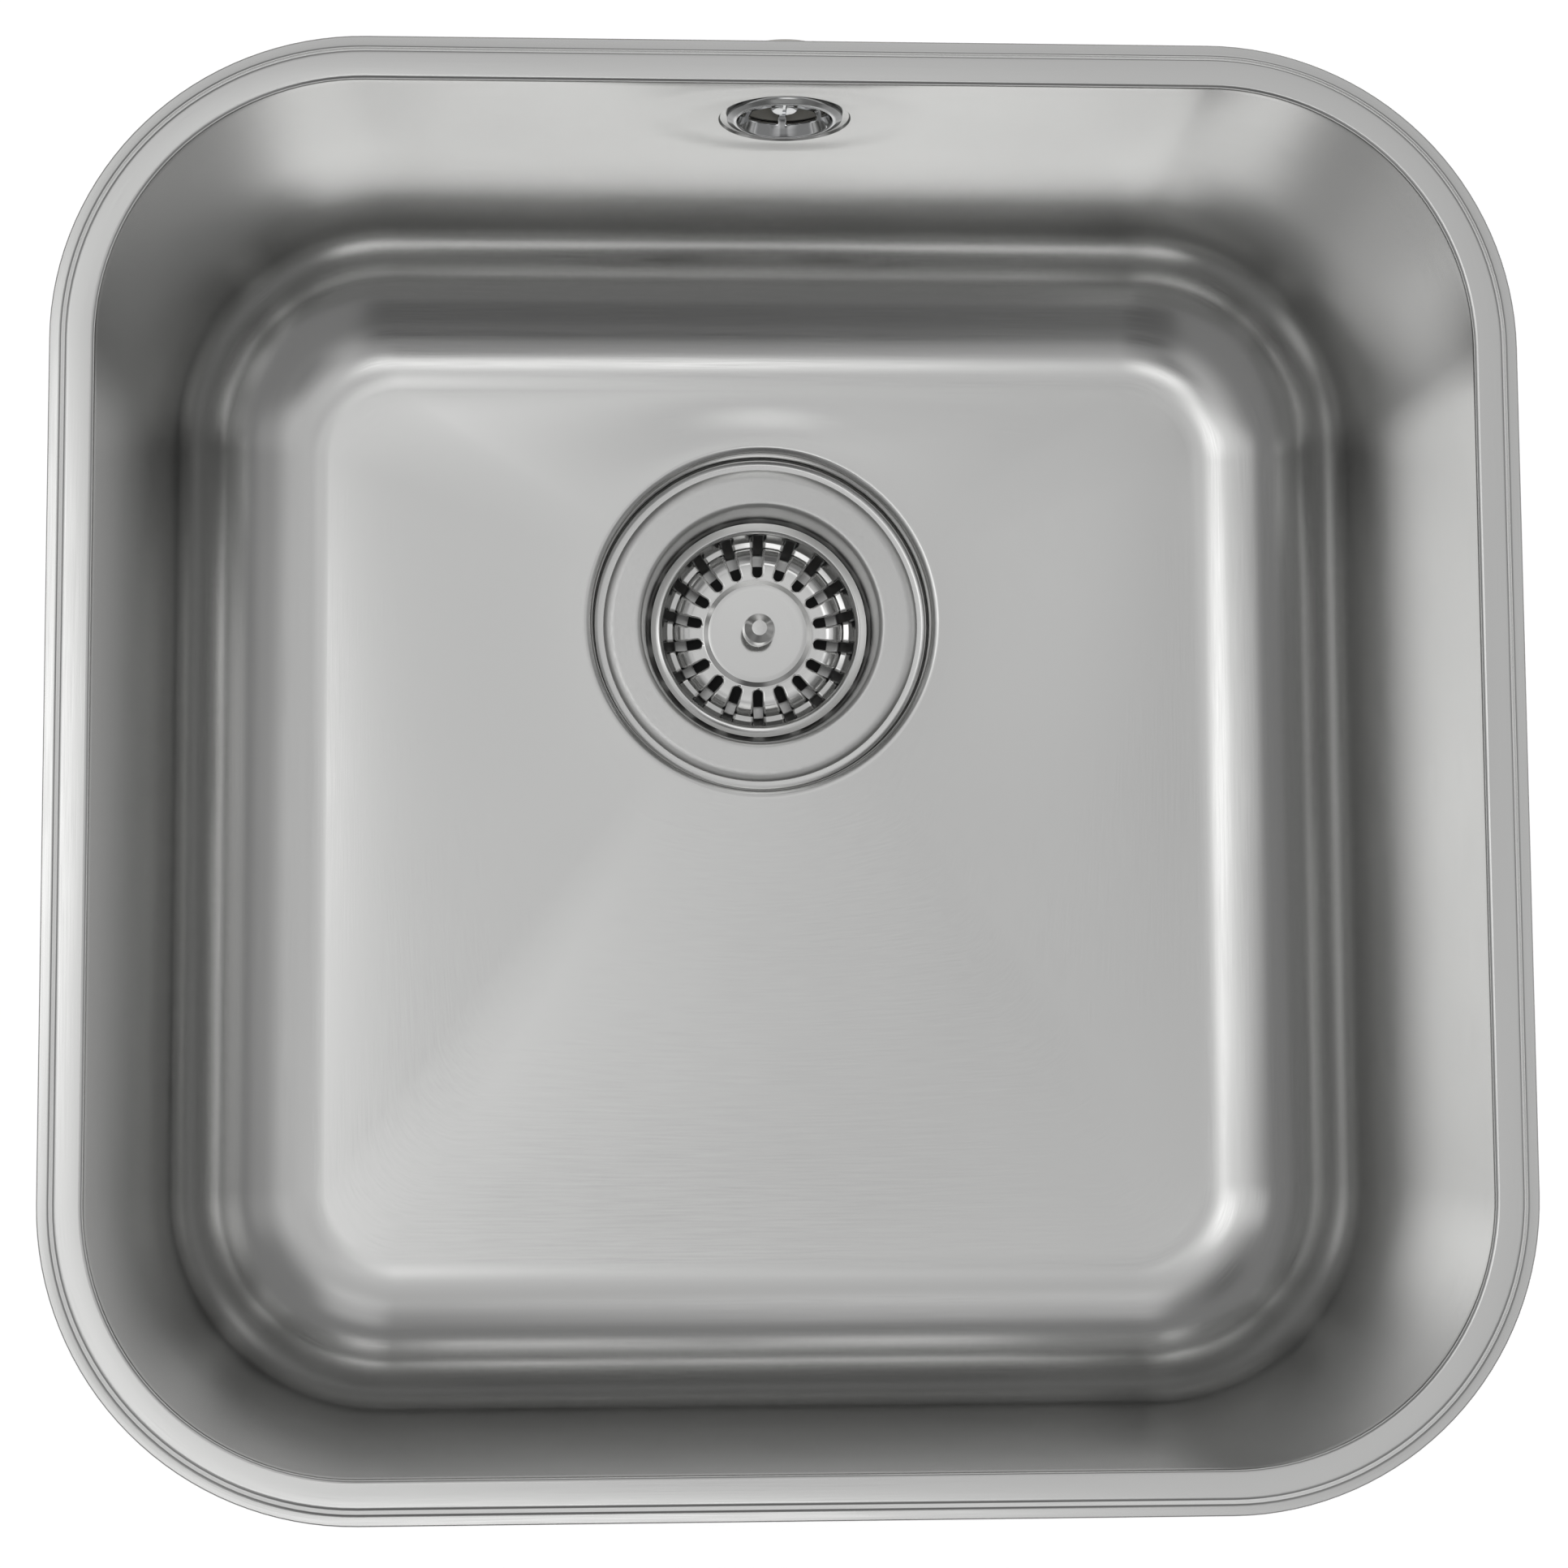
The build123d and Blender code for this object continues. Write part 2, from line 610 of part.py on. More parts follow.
# ---- strainer basket: pressed cup with radial slots that run up its wall ----
with BuildPart() as basket_cup:
    with BuildSketch(waste_section):
        with BuildLine() as basket_line:
            rim_top = (rim_radius - rim_roll, rim_z)
            centre_edge = Line((0, disc_z), (bead_inner, disc_z))
            bead = Line(centre_edge @ 1, (bead_outer, basket_z))
            flat_floor = Line(bead @ 1, (floor_radius, basket_z))
            bend = TangentArc(flat_floor @ 1, (shelf_radius, rim_z - shelf_drop), tangent=(1, 0))
            shelf = Line(bend @ 1, (wall_foot_radius, rim_z - shelf_drop + shelf_rise))
            wall = Line(shelf @ 1, (basket_mouth - mouth_lean, rim_z - mouth_drop))
            mouth = Line(wall @ 1, (basket_mouth, rim_z))
            rim = Line(mouth @ 1, rim_top)
            roll = RadiusArc(rim_top, (rim_radius, rim_z - rim_roll), rim_roll)
        make_face(offset(basket_line.line, amount=steel, side=Side.RIGHT).edges())
    revolve(axis=waste_axis)
    with BuildSketch(waste_level(basket_z - 2 * steel)):
        with PolarLocations(0, slot_count, start_angle=90):
            with Locations((slot_start + slot_width / 2, 0)):
                Circle(slot_width / 2)
                Rectangle(basket_mouth, slot_width, align=(Align.MIN, Align.CENTER))
    extrude(amount=basket_depth + 2 * steel - slot_top_drop, mode=Mode.SUBTRACT)
    with BuildSketch(waste_level(under_disc_z)):
        Circle(stem_radius + fit_gap)
    extrude(amount=steel, mode=Mode.SUBTRACT)
basket_cup.part.label = "basket_cup"
export_step(basket_cup.part, "parts/basket_cup.step")

# ---- turned knob on its stem ----
knob_foot_top = disc_z + knob_foot_height
neck_bottom = (knob_neck, knob_foot_top + knob_foot_slope)
neck_top = (knob_neck, disc_z + knob_neck_top)
shoulder = (knob_radius - knob_undercut, knob_top_z - knob_bevel_height)
with BuildPart() as basket_knob:
    with BuildSketch(waste_section):
        with BuildLine():
            Polyline(
                (0, disc_z),
                (knob_neck + knob_foot_edge, disc_z),
                (knob_neck + knob_foot_edge, knob_foot_top),
                neck_bottom,
                neck_top,
            )
            Spline(neck_top, (knob_radius, disc_z + knob_belly), shoulder, tangents=((1, 0.3), (-0.2, 1)))
            Polyline(shoulder, (shoulder[0] - knob_bevel, knob_top_z), (0, knob_top_z), (0, disc_z))
        make_face()
    revolve(axis=waste_axis)
    with BuildSketch(waste_level(disc_z)):
        Circle(stem_radius + fit_gap)
    extrude(amount=knob_height - stem_cover + stem_pocket, mode=Mode.SUBTRACT)
basket_knob.part.label = "basket_knob"
export_step(basket_knob.part, "parts/basket_knob.step")

with BuildPart() as basket_stem:
    with BuildSketch(waste_level(stem_end_z)):
        Circle(stem_radius)
    extrude(amount=knob_top_z - stem_cover - stem_end_z)
    with BuildSketch(waste_level(stem_end_z)):
        Circle(stem_radius + stem_head_edge)
    extrude(amount=-stem_head_height)
    chamfer(basket_stem.edges().group_by(Axis.Z)[0], stem_chamfer)
basket_stem.part.label = "basket_stem"
export_step(basket_stem.part, "parts/basket_stem.step")

# ---- rubber stopper: a dished disc that closes the openings when the basket is down ----
stopper_lip_z = cup_z + stopper_gap
with BuildPart() as basket_stopper:
    with BuildSketch(waste_section):
        with BuildLine():
            Polyline(
                (stem_radius + fit_gap, stopper_top_z),
                (washer_radius + stopper_flat, stopper_top_z),
                (stopper_radius, stopper_lip_z + stopper_thickness),
                (stopper_radius, stopper_lip_z),
                (stopper_radius - stopper_lip, stopper_lip_z),
                (washer_radius + stopper_flat / 2, washer_top_z),
                (stem_radius + fit_gap, washer_top_z),
                (stem_radius + fit_gap, stopper_top_z),
            )
        make_face()
    revolve(axis=waste_axis)
basket_stopper.part.label = "basket_stopper"
export_step(basket_stopper.part, "parts/basket_stopper.step")

with BuildPart() as stopper_washer:
    with BuildSketch(waste_level(nut_top_z)):
        Circle(washer_radius)
        Circle(stem_radius + fit_gap, mode=Mode.SUBTRACT)
    extrude(amount=washer_thickness)
stopper_washer.part.label = "stopper_washer"
export_step(stopper_washer.part, "parts/stopper_washer.step")

with BuildPart() as stem_nut:
    with BuildSketch(waste_level(nut_top_z - nut_height)):
        RegularPolygon(nut_flats / 2, 6, major_radius=False)
        Circle(stem_radius + fit_gap, mode=Mode.SUBTRACT)
    extrude(amount=nut_height)
stem_nut.part.label = "stem_nut"
export_step(stem_nut.part, "parts/stem_nut.step")

# ---- split plastic catch: turns on the stem and springs into the screw's socket ----
catch_collar_z = catch_top_z - catch_collar_height
with BuildPart() as stem_catch:
    with BuildSketch(waste_section):
        with BuildLine():
            Polyline(
                (stem_radius + fit_gap, catch_top_z),
                (catch_radius + catch_collar, catch_top_z),
                (catch_radius + catch_collar, catch_collar_z),
                (catch_radius - catch_neck, catch_collar_z - catch_cone),
                (catch_radius - catch_neck, catch_end_z + catch_tip + catch_tip_slope),
                (catch_radius, catch_end_z + catch_tip),
                (catch_radius - catch_tip_taper, catch_end_z),
                (stem_radius + fit_gap, catch_end_z),
                (stem_radius + fit_gap, catch_top_z),
            )
        make_face()
    revolve(axis=waste_axis)
    with BuildSketch(waste_level(catch_end_z)):
        Rectangle(3 * catch_radius, catch_slit)
        Rectangle(catch_slit, 3 * catch_radius)
    extrude(amount=catch_length - catch_solid, mode=Mode.SUBTRACT)
stem_catch.part.label = "stem_catch"
export_step(stem_catch.part, "parts/stem_catch.step")

# ---- overflow rose: dished cover with spokes, its screw and seal ----
with BuildPart() as overflow_rose:
    with BuildSketch(rose_section):
        with BuildLine():
            Polyline(
                (0, -rose_depth),
                (rose_floor, -rose_depth),
                (rose_dish, rose_sheet - seat_depth),
                (rose_dish + rose_edge, rose_stand),
                (rose_radius - rose_edge, rose_stand),
                (rose_radius, rose_stand - rose_edge),
                (rose_radius, -seat_depth),
                (rose_dish + rose_sheet, -seat_depth),
                (rose_floor + rose_sheet, -rose_depth - rose_sheet),
                (0, -rose_depth - rose_sheet),
                (0, -rose_depth),
            )
        make_face()
    revolve(axis=rose_axis)
    with BuildSketch(wall_level(-rose_depth - 2 * rose_sheet)):
        Circle(rose_port_radius)
        Circle(rose_hub, mode=Mode.SUBTRACT)
        with PolarLocations(0, rose_ports, start_angle=90):
            Rectangle(2 * rose_port_radius, rose_spoke, align=(Align.MIN, Align.CENTER), mode=Mode.SUBTRACT)
    extrude(amount=3 * rose_sheet, mode=Mode.SUBTRACT)
    with BuildSketch(wall_level(-rose_depth - rose_sheet)):
        Circle(rose_screw_radius + fit_gap)
    extrude(amount=rose_sheet, mode=Mode.SUBTRACT)
overflow_rose.part.label = "overflow_rose"
export_step(overflow_rose.part, "parts/overflow_rose.step")

with BuildPart() as rose_screw:
    with BuildSketch(wall_level(-rose_depth)):
        Circle(rose_screw_head)
    extrude(amount=rose_screw_height)
    fillet(rose_screw.faces().sort_by(rose_axis)[-1].edges(), rose_screw_round)
    with BuildSketch(wall_level(-rose_depth + rose_screw_height)):
        Rectangle(rose_screw_slot, 3 * rose_screw_head)
    extrude(amount=-rose_screw_height / 2, mode=Mode.SUBTRACT)
    with BuildSketch(wall_level(-rose_depth)):
        Circle(rose_screw_radius)
    extrude(amount=-rose_screw_length)
rose_screw.part.label = "rose_screw"
export_step(rose_screw.part, "parts/rose_screw.step")

with BuildPart() as rose_gasket:
    with BuildSketch(wall_level(rose_seal_back)):
        Circle(seat_radius)
        Circle(wall_hole, mode=Mode.SUBTRACT)
    extrude(amount=rose_seal)
rose_gasket.part.label = "rose_gasket"
export_step(rose_gasket.part, "parts/rose_gasket.step")

# ---- overflow elbow: chamber behind the wall with a spigot pointing down ----
with BuildPart() as overflow_elbow:
    with BuildSketch(wall_level(rose_seal_back - elbow_plate)):
        Circle(elbow_plate_radius)
    extrude(amount=elbow_plate)
    with BuildSketch(wall_level(chamber_back)):
        Circle(elbow_radius)
    extrude(amount=elbow_depth + rose_seal_back)
    fillet(overflow_elbow.faces().sort_by(rose_axis)[0].edges(), elbow_round)
    with BuildSketch(pipe_plane.offset(spigot_start)):
        Circle(spigot_radius)
    extrude(amount=elbow_radius + spigot_length - spigot_start)
    with BuildSketch(wall_level(chamber_floor)):
        Circle(elbow_radius - elbow_wall)
    extrude(amount=elbow_depth, mode=Mode.SUBTRACT)
    with BuildSketch(pipe_plane.offset(spigot_start + elbow_wall)):
        Circle(pipe_bore)
    extrude(amount=elbow_radius + spigot_length - spigot_start - elbow_wall, mode=Mode.SUBTRACT)
    with BuildSketch(upper_mouth.offset(-pipe_insert)):
        Circle(pipe_radius + fit_gap)
    extrude(amount=pipe_insert, mode=Mode.SUBTRACT)
    with BuildSketch(wall_level(chamber_floor)):
        Circle(rose_screw_head + boss_wall)
        Circle(rose_screw_head, mode=Mode.SUBTRACT)
    extrude(amount=insert_front - chamber_floor)
overflow_elbow.part.label = "overflow_elbow"
export_step(overflow_elbow.part, "parts/overflow_elbow.step")

with BuildPart() as elbow_insert:
    with BuildSketch(wall_level(chamber_floor)):
        Circle(rose_screw_head)
        Circle(rose_screw_radius + fit_gap, mode=Mode.SUBTRACT)
    extrude(amount=insert_front - chamber_floor)
elbow_insert.part.label = "elbow_insert"
export_step(elbow_insert.part, "parts/elbow_insert.step")

# ---- overflow pipe: ribbed hose, down behind the bowl and forward to the branch ----
pipe_start = upper_mouth.origin - pipe_plane.z_dir * pipe_insert
pipe_end = branch_mouth.origin - branch_mouth.z_dir * pipe_insert
run_down = (pipe_start.Z - branch_z) / -pipe_plane.z_dir.Z
pipe_corner = pipe_start + pipe_plane.z_dir * run_down
first_rib = nut_length - nut_overlap + rib_start  # from the elbow's mouth
ribbed_run = run_down - pipe_insert - pipe_bend - first_rib - rib_start
pipe_ribs = int(ribbed_run / rib_pitch)

with BuildPart() as overflow_pipe:
    with BuildLine() as pipe_path:
        FilletPolyline(pipe_start, pipe_corner, pipe_end, radius=pipe_bend)
    with BuildSketch(Plane(origin=pipe_start, x_dir=(1, 0, 0), z_dir=pipe_plane.z_dir)):
        Circle(pipe_radius)
        Circle(pipe_bore, mode=Mode.SUBTRACT)
    sweep(path=pipe_path.line)
    for index in range(pipe_ribs):
        with BuildSketch(upper_mouth.offset(first_rib + index * rib_pitch)):
            Circle(pipe_radius + rib_height)
            Circle((pipe_radius + pipe_bore) / 2, mode=Mode.SUBTRACT)
        extrude(amount=rib_width)
overflow_pipe.part.label = "overflow_pipe"
export_step(overflow_pipe.part, "parts/overflow_pipe.step")

# ---- pipe nuts and cone seals, one pair at each end of the pipe ----
for end_name, mouth_plane in (("upper", upper_mouth), ("lower", branch_mouth)):
    with BuildPart() as cone_seal:
        with BuildSketch(mouth_plane):
            Circle(spigot_radius - cone_seal_edge)
            Circle(pipe_radius + fit_gap, mode=Mode.SUBTRACT)
        with BuildSketch(mouth_plane.offset(cone_seal_length)):
            Circle(spigot_radius - cone_seal_edge - cone_seal_taper)
            Circle(pipe_radius + fit_gap, mode=Mode.SUBTRACT)
        loft()
    cone_seal.part.label = f"pipe_seal_{end_name}"
    export_step(cone_seal.part, f"parts/pipe_seal_{end_name}.step")

    with BuildPart() as pipe_nut:
        with BuildSketch(mouth_plane.offset(-nut_overlap)):
            Circle(nut_radius)
            with PolarLocations(nut_radius, nut_lugs):
                Rectangle(2 * lug_height, lug_width)
        extrude(amount=nut_length)
        with BuildSketch(mouth_plane.offset(-nut_overlap)):
            Circle(spigot_radius + fit_gap)
        extrude(amount=nut_overlap + cone_seal_length + fit_gap, mode=Mode.SUBTRACT)
        with BuildSketch(mouth_plane):
            Circle(pipe_radius + nut_bore_gap)
        extrude(amount=nut_length, mode=Mode.SUBTRACT)
    pipe_nut.part.label = f"pipe_nut_{end_name}"
    export_step(pipe_nut.part, f"parts/pipe_nut_{end_name}.step")
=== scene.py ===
import bmesh
import bpy
import numpy as np
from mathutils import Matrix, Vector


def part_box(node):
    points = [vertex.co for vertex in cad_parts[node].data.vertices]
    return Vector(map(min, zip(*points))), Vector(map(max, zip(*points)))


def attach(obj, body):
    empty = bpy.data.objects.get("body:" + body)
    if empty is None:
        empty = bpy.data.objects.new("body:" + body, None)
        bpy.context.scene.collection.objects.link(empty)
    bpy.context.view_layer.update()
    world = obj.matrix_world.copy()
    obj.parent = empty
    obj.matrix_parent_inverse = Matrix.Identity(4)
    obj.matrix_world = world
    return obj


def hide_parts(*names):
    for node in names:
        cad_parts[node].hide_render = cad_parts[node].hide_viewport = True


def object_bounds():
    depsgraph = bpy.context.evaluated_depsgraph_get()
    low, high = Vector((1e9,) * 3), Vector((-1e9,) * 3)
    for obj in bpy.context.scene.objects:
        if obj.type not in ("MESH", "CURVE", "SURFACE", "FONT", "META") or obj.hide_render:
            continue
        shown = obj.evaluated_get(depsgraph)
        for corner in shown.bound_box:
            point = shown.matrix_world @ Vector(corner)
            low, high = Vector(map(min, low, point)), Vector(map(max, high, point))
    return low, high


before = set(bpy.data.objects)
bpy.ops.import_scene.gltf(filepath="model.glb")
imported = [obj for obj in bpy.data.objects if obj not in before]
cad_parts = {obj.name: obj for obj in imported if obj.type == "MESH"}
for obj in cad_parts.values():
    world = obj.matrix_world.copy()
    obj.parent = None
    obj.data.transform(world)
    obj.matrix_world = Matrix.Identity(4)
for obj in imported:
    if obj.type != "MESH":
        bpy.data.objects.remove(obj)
cad_low, cad_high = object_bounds()

# ---- Bowl ----
# One sheet of 1 mm stainless steel, drawn in a press to a square bowl with a stepped flange, a well for the
# waste and a flat seat for the overflow, then trimmed, pierced and brushed along its walls. It hangs under
# the worktop by its flange.
mm = 0.001
close = 1e-7  # metres: points nearer than this are one point
sheet = 1.0 * mm
_, bowl_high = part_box("bowl")
core = 130 * mm  # half the straight part of each side, the same at every height
lip = bowl_high.x - core  # corner radius of the flange's edge
step = 1.8 * mm  # the raised land stands this high above the lip
lip_foot = lip - 3.4 * mm
land_edge = lip_foot - step
mouth = land_edge - 8.8 * mm
draft = np.radians(3)
depth = 190 * mm
well_centre = np.array([0, 72]) * mm
well_radius = 61 * mm
well_edge_z = -192 * mm
well_z = -204 * mm
waste_hole = 45 * mm
steel_tint = "#D8D8D7"


def arc(centre, radius, start, end, steps):
    """Points on a circle: centre plus the radius times the cosine and sine of angles, in degrees."""
    angle = np.radians(np.linspace(start, end, steps + 1))
    return np.array(centre) + radius * np.stack([np.cos(angle), np.sin(angle)], 1)


def rounded(corners, turn=12):
    """An outline (across, up) through (across, up, radius) corners, each turned by an arc of its radius, with
    a point at least every turn degrees. The arc touches both runs at radius / tan(half the inner angle) from
    the corner, and its centre is on the bisector."""
    nearly_straight = 1.57  # half of an inner angle, in radians
    points = [np.array(corners[0][:2])]
    for before, here, after in zip(corners, corners[1:], corners[2:]):
        corner = np.array(here[:2])
        back = np.array(before[:2]) - corner
        on = np.array(after[:2]) - corner
        back, on = back / np.linalg.norm(back), on / np.linalg.norm(on)
        half = np.arccos(np.clip(back @ on, -1, 1)) / 2
        if here[2] == 0 or half > nearly_straight:
            points.append(corner)
            continue
        bisector = (back + on) / np.linalg.norm(back + on)
        centre = corner + bisector * here[2] / np.sin(half)
        first = corner + back * here[2] / np.tan(half) - centre
        side = np.sign(first[0] * on[1] - first[1] * on[0])
        steps = max(2, int(np.degrees(np.pi - 2 * half) / turn) + 1)
        for angle in np.linspace(0, np.pi - 2 * half, steps + 1) * side:
            spin = np.array([[np.cos(angle), -np.sin(angle)], [np.sin(angle), np.cos(angle)]])
            points.append(centre + spin @ first)
    points.append(np.array(corners[-1][:2]))
    return np.array(points)


def grid_quads(rows, columns):
    """Quads of a grid of rows by columns of points, seen from outside when columns run anticlockwise and rows
    inwards. The last column meets the first."""
    row, column = np.meshgrid(np.arange(rows - 1) * columns, np.arange(columns), indexing="ij")
    after = (column + 1) % columns
    return np.stack([row + column, row + after, row + columns + after, row + columns + column], -1)


def at_corners(pairs):
    """The pair of numbers at each corner of each quad of a grid, in the order that grid_quads has them."""
    return np.stack([pairs[:-1, :-1], pairs[:-1, 1:], pairs[1:, 1:], pairs[1:, :-1]], 2)


def surface(name, points, quads, strokes):
    """A smooth mesh of quads, with the UV map "strokes": metres along and across the brushing, one pair per
    corner. Points that lie together are merged, which closes seams and poles."""
    mesh = bpy.data.meshes.new(name)
    mesh.from_pydata(points.tolist(), [], quads.reshape(-1, 4).tolist())
    layer = mesh.uv_layers.new(name="strokes")
    layer.data.foreach_set("uv", strokes.reshape(-1).astype(np.float32))
    work = bmesh.new()
    work.from_mesh(mesh)
    bmesh.ops.remove_doubles(work, verts=work.verts, dist=close)
    loose = [vertex for vertex in work.verts if not vertex.link_faces]
    bmesh.ops.delete(work, geom=loose, context="VERTS")
    work.to_mesh(mesh)
    work.free()
    mesh.shade_smooth()
    piece = bpy.data.objects.new(name, mesh)
    bpy.context.scene.collection.objects.link(piece)
    return piece


def thicken(piece, thickness):
    """Gives a single sheet its thickness, away from the side that is seen."""
    solid = piece.modifiers.new("thickness", "SOLIDIFY")
    solid.thickness = thickness
    solid.offset = -1
    solid.use_even_offset = True
    piece.data.set_sharp_from_angle(angle=np.radians(38))


def linear(hex_colour):
    """The linear colour of an sRGB hex value: ((c + 0.055) / 1.055) ** 2.4, or c / 12.92 near black."""
    parts = np.array([int(hex_colour[i : i + 2], 16) for i in (1, 3, 5)]) / 255
    return (*np.where(parts > 0.04045, ((parts + 0.055) / 1.055) ** 2.4, parts / 12.92), 1)


def add(tree, kind, settings=None, links=None):
    """Adds a node, sets its properties and input values, and links other nodes' outputs to its inputs."""
    made = tree.nodes.new("ShaderNode" + kind)
    for name, value in (settings or {}).items():
        if isinstance(name, str) and name[0].islower():
            setattr(made, name, value)
        else:
            made.inputs[name].default_value = value
    for name, output in (links or {}).items():
        tree.links.new(output, made.inputs[name])
    return made


def new_material(name):
    """An empty node material and its tree."""
    material = bpy.data.materials.new(name)
    material.use_nodes = True
    material.node_tree.nodes.clear()
    return material, material.node_tree


def brushed_metal(name, tint, stroke, line, roughness, bump, anisotropy):
    """Metal, brushed or turned: fine parallel scratches along the strokes map, which draw reflections out
    across them. stroke and line are a scratch's length and width in metres. Real 180 grit scratches are about
    0.05 mm wide, too fine to show, so the lines here are drawn coarser. A piece without the map has none."""
    material, tree = new_material(name)
    along = add(tree, "UVMap", {"uv_map": "strokes"})
    stretch = add(tree, "Mapping", {"Scale": (1 / stroke, 1 / line, 1)}, {"Vector": along.outputs["UV"]})
    fibres = {"Scale": 1, "Detail": 3, "Roughness": 0.6}
    scratch = add(tree, "TexNoise", fibres, {"Vector": stretch.outputs[0]})
    place = add(tree, "TexCoord")
    cloud = add(tree, "TexNoise", {"Scale": 1 / 0.06, "Detail": 2}, {"Vector": place.outputs["Object"]})
    parts = {0: cloud.outputs[0], 2: scratch.outputs[0]}
    mixed = add(tree, "Math", {"operation": "MULTIPLY_ADD", 1: 0.35}, parts)
    gloss = add(
        tree,
        "MapRange",
        {"From Min": 0.4, "From Max": 0.95, "To Min": roughness * 0.8, "To Max": roughness * 1.25},
        {"Value": mixed.outputs[0]},
    )
    relief = add(tree, "Bump", {"Strength": bump, "Distance": 0.02 * mm}, {"Height": scratch.outputs[0]})
    tangent = add(tree, "Tangent", {"direction_type": "UV_MAP", "uv_map": "strokes"})
    shader = add(
        tree,
        "BsdfPrincipled",
        {"Base Color": linear(tint), "Metallic": 1, "Anisotropic": anisotropy},
        {"Roughness": gloss.outputs[0], "Normal": relief.outputs[0], "Tangent": tangent.outputs[0]},
    )
    add(tree, "OutputMaterial", {}, {"Surface": shader.outputs[0]})
    return material


# the outline from the flange's edge to the floor, as (corner radius, height). Corners without a radius keep
# the shading of the bands beside them flat.
flange_line = rounded(
    [
        (lip, -step, 0),
        (lip - 0.4 * mm, -step, 0),
        (lip_foot, -step, 1.5 * mm),
        (land_edge, 0, 1.5 * mm),
        (land_edge - 1 * mm, 0, 0),
        (mouth, 0, 1.6 * mm),
        (mouth - 6 * mm * np.sin(draft), -6 * mm * np.cos(draft), 0),
    ]
)[:-1]
overflow_depth = 34 * mm  # of its centre, below the land
overflow_drop = overflow_depth / np.cos(draft)  # the same down the wall
patch_half = 30 * mm  # square of wall that is replaced by the pressed seat
patch_cells = 24
fillet_radius = 48 * mm
fillet_drop = (depth - fillet_radius * (1 - np.sin(draft))) / np.cos(draft)
wall_drop = np.concatenate(
    [
        np.linspace(overflow_drop - patch_half, overflow_drop + patch_half, patch_cells + 1),
        np.linspace(overflow_drop + patch_half, fillet_drop, 15)[1:],
    ]
)
wall_line = np.stack([mouth - wall_drop * np.sin(draft), -wall_drop * np.cos(draft)], 1)
fillet_centre = (wall_line[-1, 0] - fillet_radius * np.cos(draft), fillet_radius - depth)
fillet_line = arc(fillet_centre, fillet_radius, -np.degrees(draft), -90, 28)[1:]
side_line = np.concatenate([flange_line, wall_line, fillet_line])

# columns round the rounded square: core points and the directions in which the corner radius is measured
press_end = 54 * mm  # the oval press round the overflow ends before here
corner_cells = 32
fine = np.linspace(-patch_half, patch_half, patch_cells + 1)
lead = np.concatenate([np.linspace(-core, -press_end, 7)[:-1], np.linspace(-press_end, -patch_half, 11)[:-1]])
back_places = np.concatenate([lead, fine, -lead[::-1]])
side_cells = 26
side_places = np.linspace(-core, core, side_cells + 1)
core_points, directions = [], []
for quarter in range(4):
    places = back_places if quarter == 1 else side_places
    turn = quarter * np.pi / 2
    spin = np.array([[np.cos(turn), -np.sin(turn)], [np.sin(turn), np.cos(turn)]])
    straight = np.stack([np.full(len(places), core), places], 1)[:-1]
    sweep = np.linspace(0, np.pi / 2, corner_cells + 1)[:-1]
    fan = np.stack([np.cos(sweep), np.sin(sweep)], 1)
    core_points += [straight @ spin.T, np.tile([core, core], (corner_cells, 1)) @ spin.T]
    directions += [np.tile([1, 0], (len(straight), 1)) @ spin.T, fan @ spin.T]
core_points, directions = np.concatenate(core_points), np.concatenate(directions)
columns = len(core_points)

# rows down the side, then across the falling floor to the well, which is round
sides = core_points + side_line[:, :1, None] * directions
side_z = np.broadcast_to(side_line[:, 1:, None], (len(side_line), columns, 1))
to_well = sides[-1] - well_centre
to_well /= np.linalg.norm(to_well, axis=1, keepdims=True)
edge_radius = 3 * mm
root_radius = 2.5 * mm
well_line = np.concatenate(
    [
        arc((well_radius + edge_radius, well_edge_z - edge_radius), edge_radius, 90, 180, 9),
        arc((well_radius - root_radius, well_z + root_radius), root_radius, 0, -90, 7),
        [(55 * mm, well_z), (50 * mm, well_z), (waste_hole, well_z)],
    ]
)
well = well_centre + well_line[:, :1, None] * to_well
well_zs = np.broadcast_to(well_line[:, 1:, None], (len(well_line), columns, 1))
share = (1 - np.cos(np.linspace(0, np.pi, 24)))[1:-1, None, None] / 2  # rows lie closer at both ends
fall = sides[-1] + share * (well[0] - sides[-1])
fall_height = -depth + (well_edge_z + depth) * share**2 * (3 - 2 * share)
fall_z = np.broadcast_to(fall_height, (len(share), columns, 1))
bowl_grid = np.concatenate(
    [
        np.concatenate([sides, side_z], 2),
        np.concatenate([fall, fall_z], 2),
        np.concatenate([well, well_zs], 2),
    ]
)

# the shallow oval pressed into the back wall round the overflow, and the seat inside it, from the directions
# square to the wall and down it
wall_in = np.array([0, -np.cos(draft), np.sin(draft)])
wall_down = np.array([0, -np.sin(draft), -np.cos(draft)])
overflow_centre = np.array([0, core + mouth, 0]) + overflow_drop * wall_down
press_depth = 0.6 * mm
press_flat = np.array([30, 21]) * mm
press_edge = np.array([50, 31]) * mm
seat_radius = 20.5 * mm
seat_depth = 1.2 * mm
overflow_hole = 15.6 * mm


def press(points):
    """Moves wall points back by the press's depth. In a point's direction from the centre the press slopes
    from its flat to its edge, each an ellipse of radius 1 / length of (direction / half axes), and ends
    smoothly."""
    local = points - overflow_centre
    across, down = local[..., 0], local @ wall_down
    distance = np.hypot(across, down) + 1e-9
    heading = np.stack([across, down], -1) / distance[..., None]
    inner = 1 / np.linalg.norm(heading / press_flat, axis=-1)
    outer = 1 / np.linalg.norm(heading / press_edge, axis=-1)
    part = np.clip((distance - inner) / (outer - inner), 0, 1)
    return points - (press_depth * (1 - part**2 * (3 - 2 * part)))[..., None] * wall_in


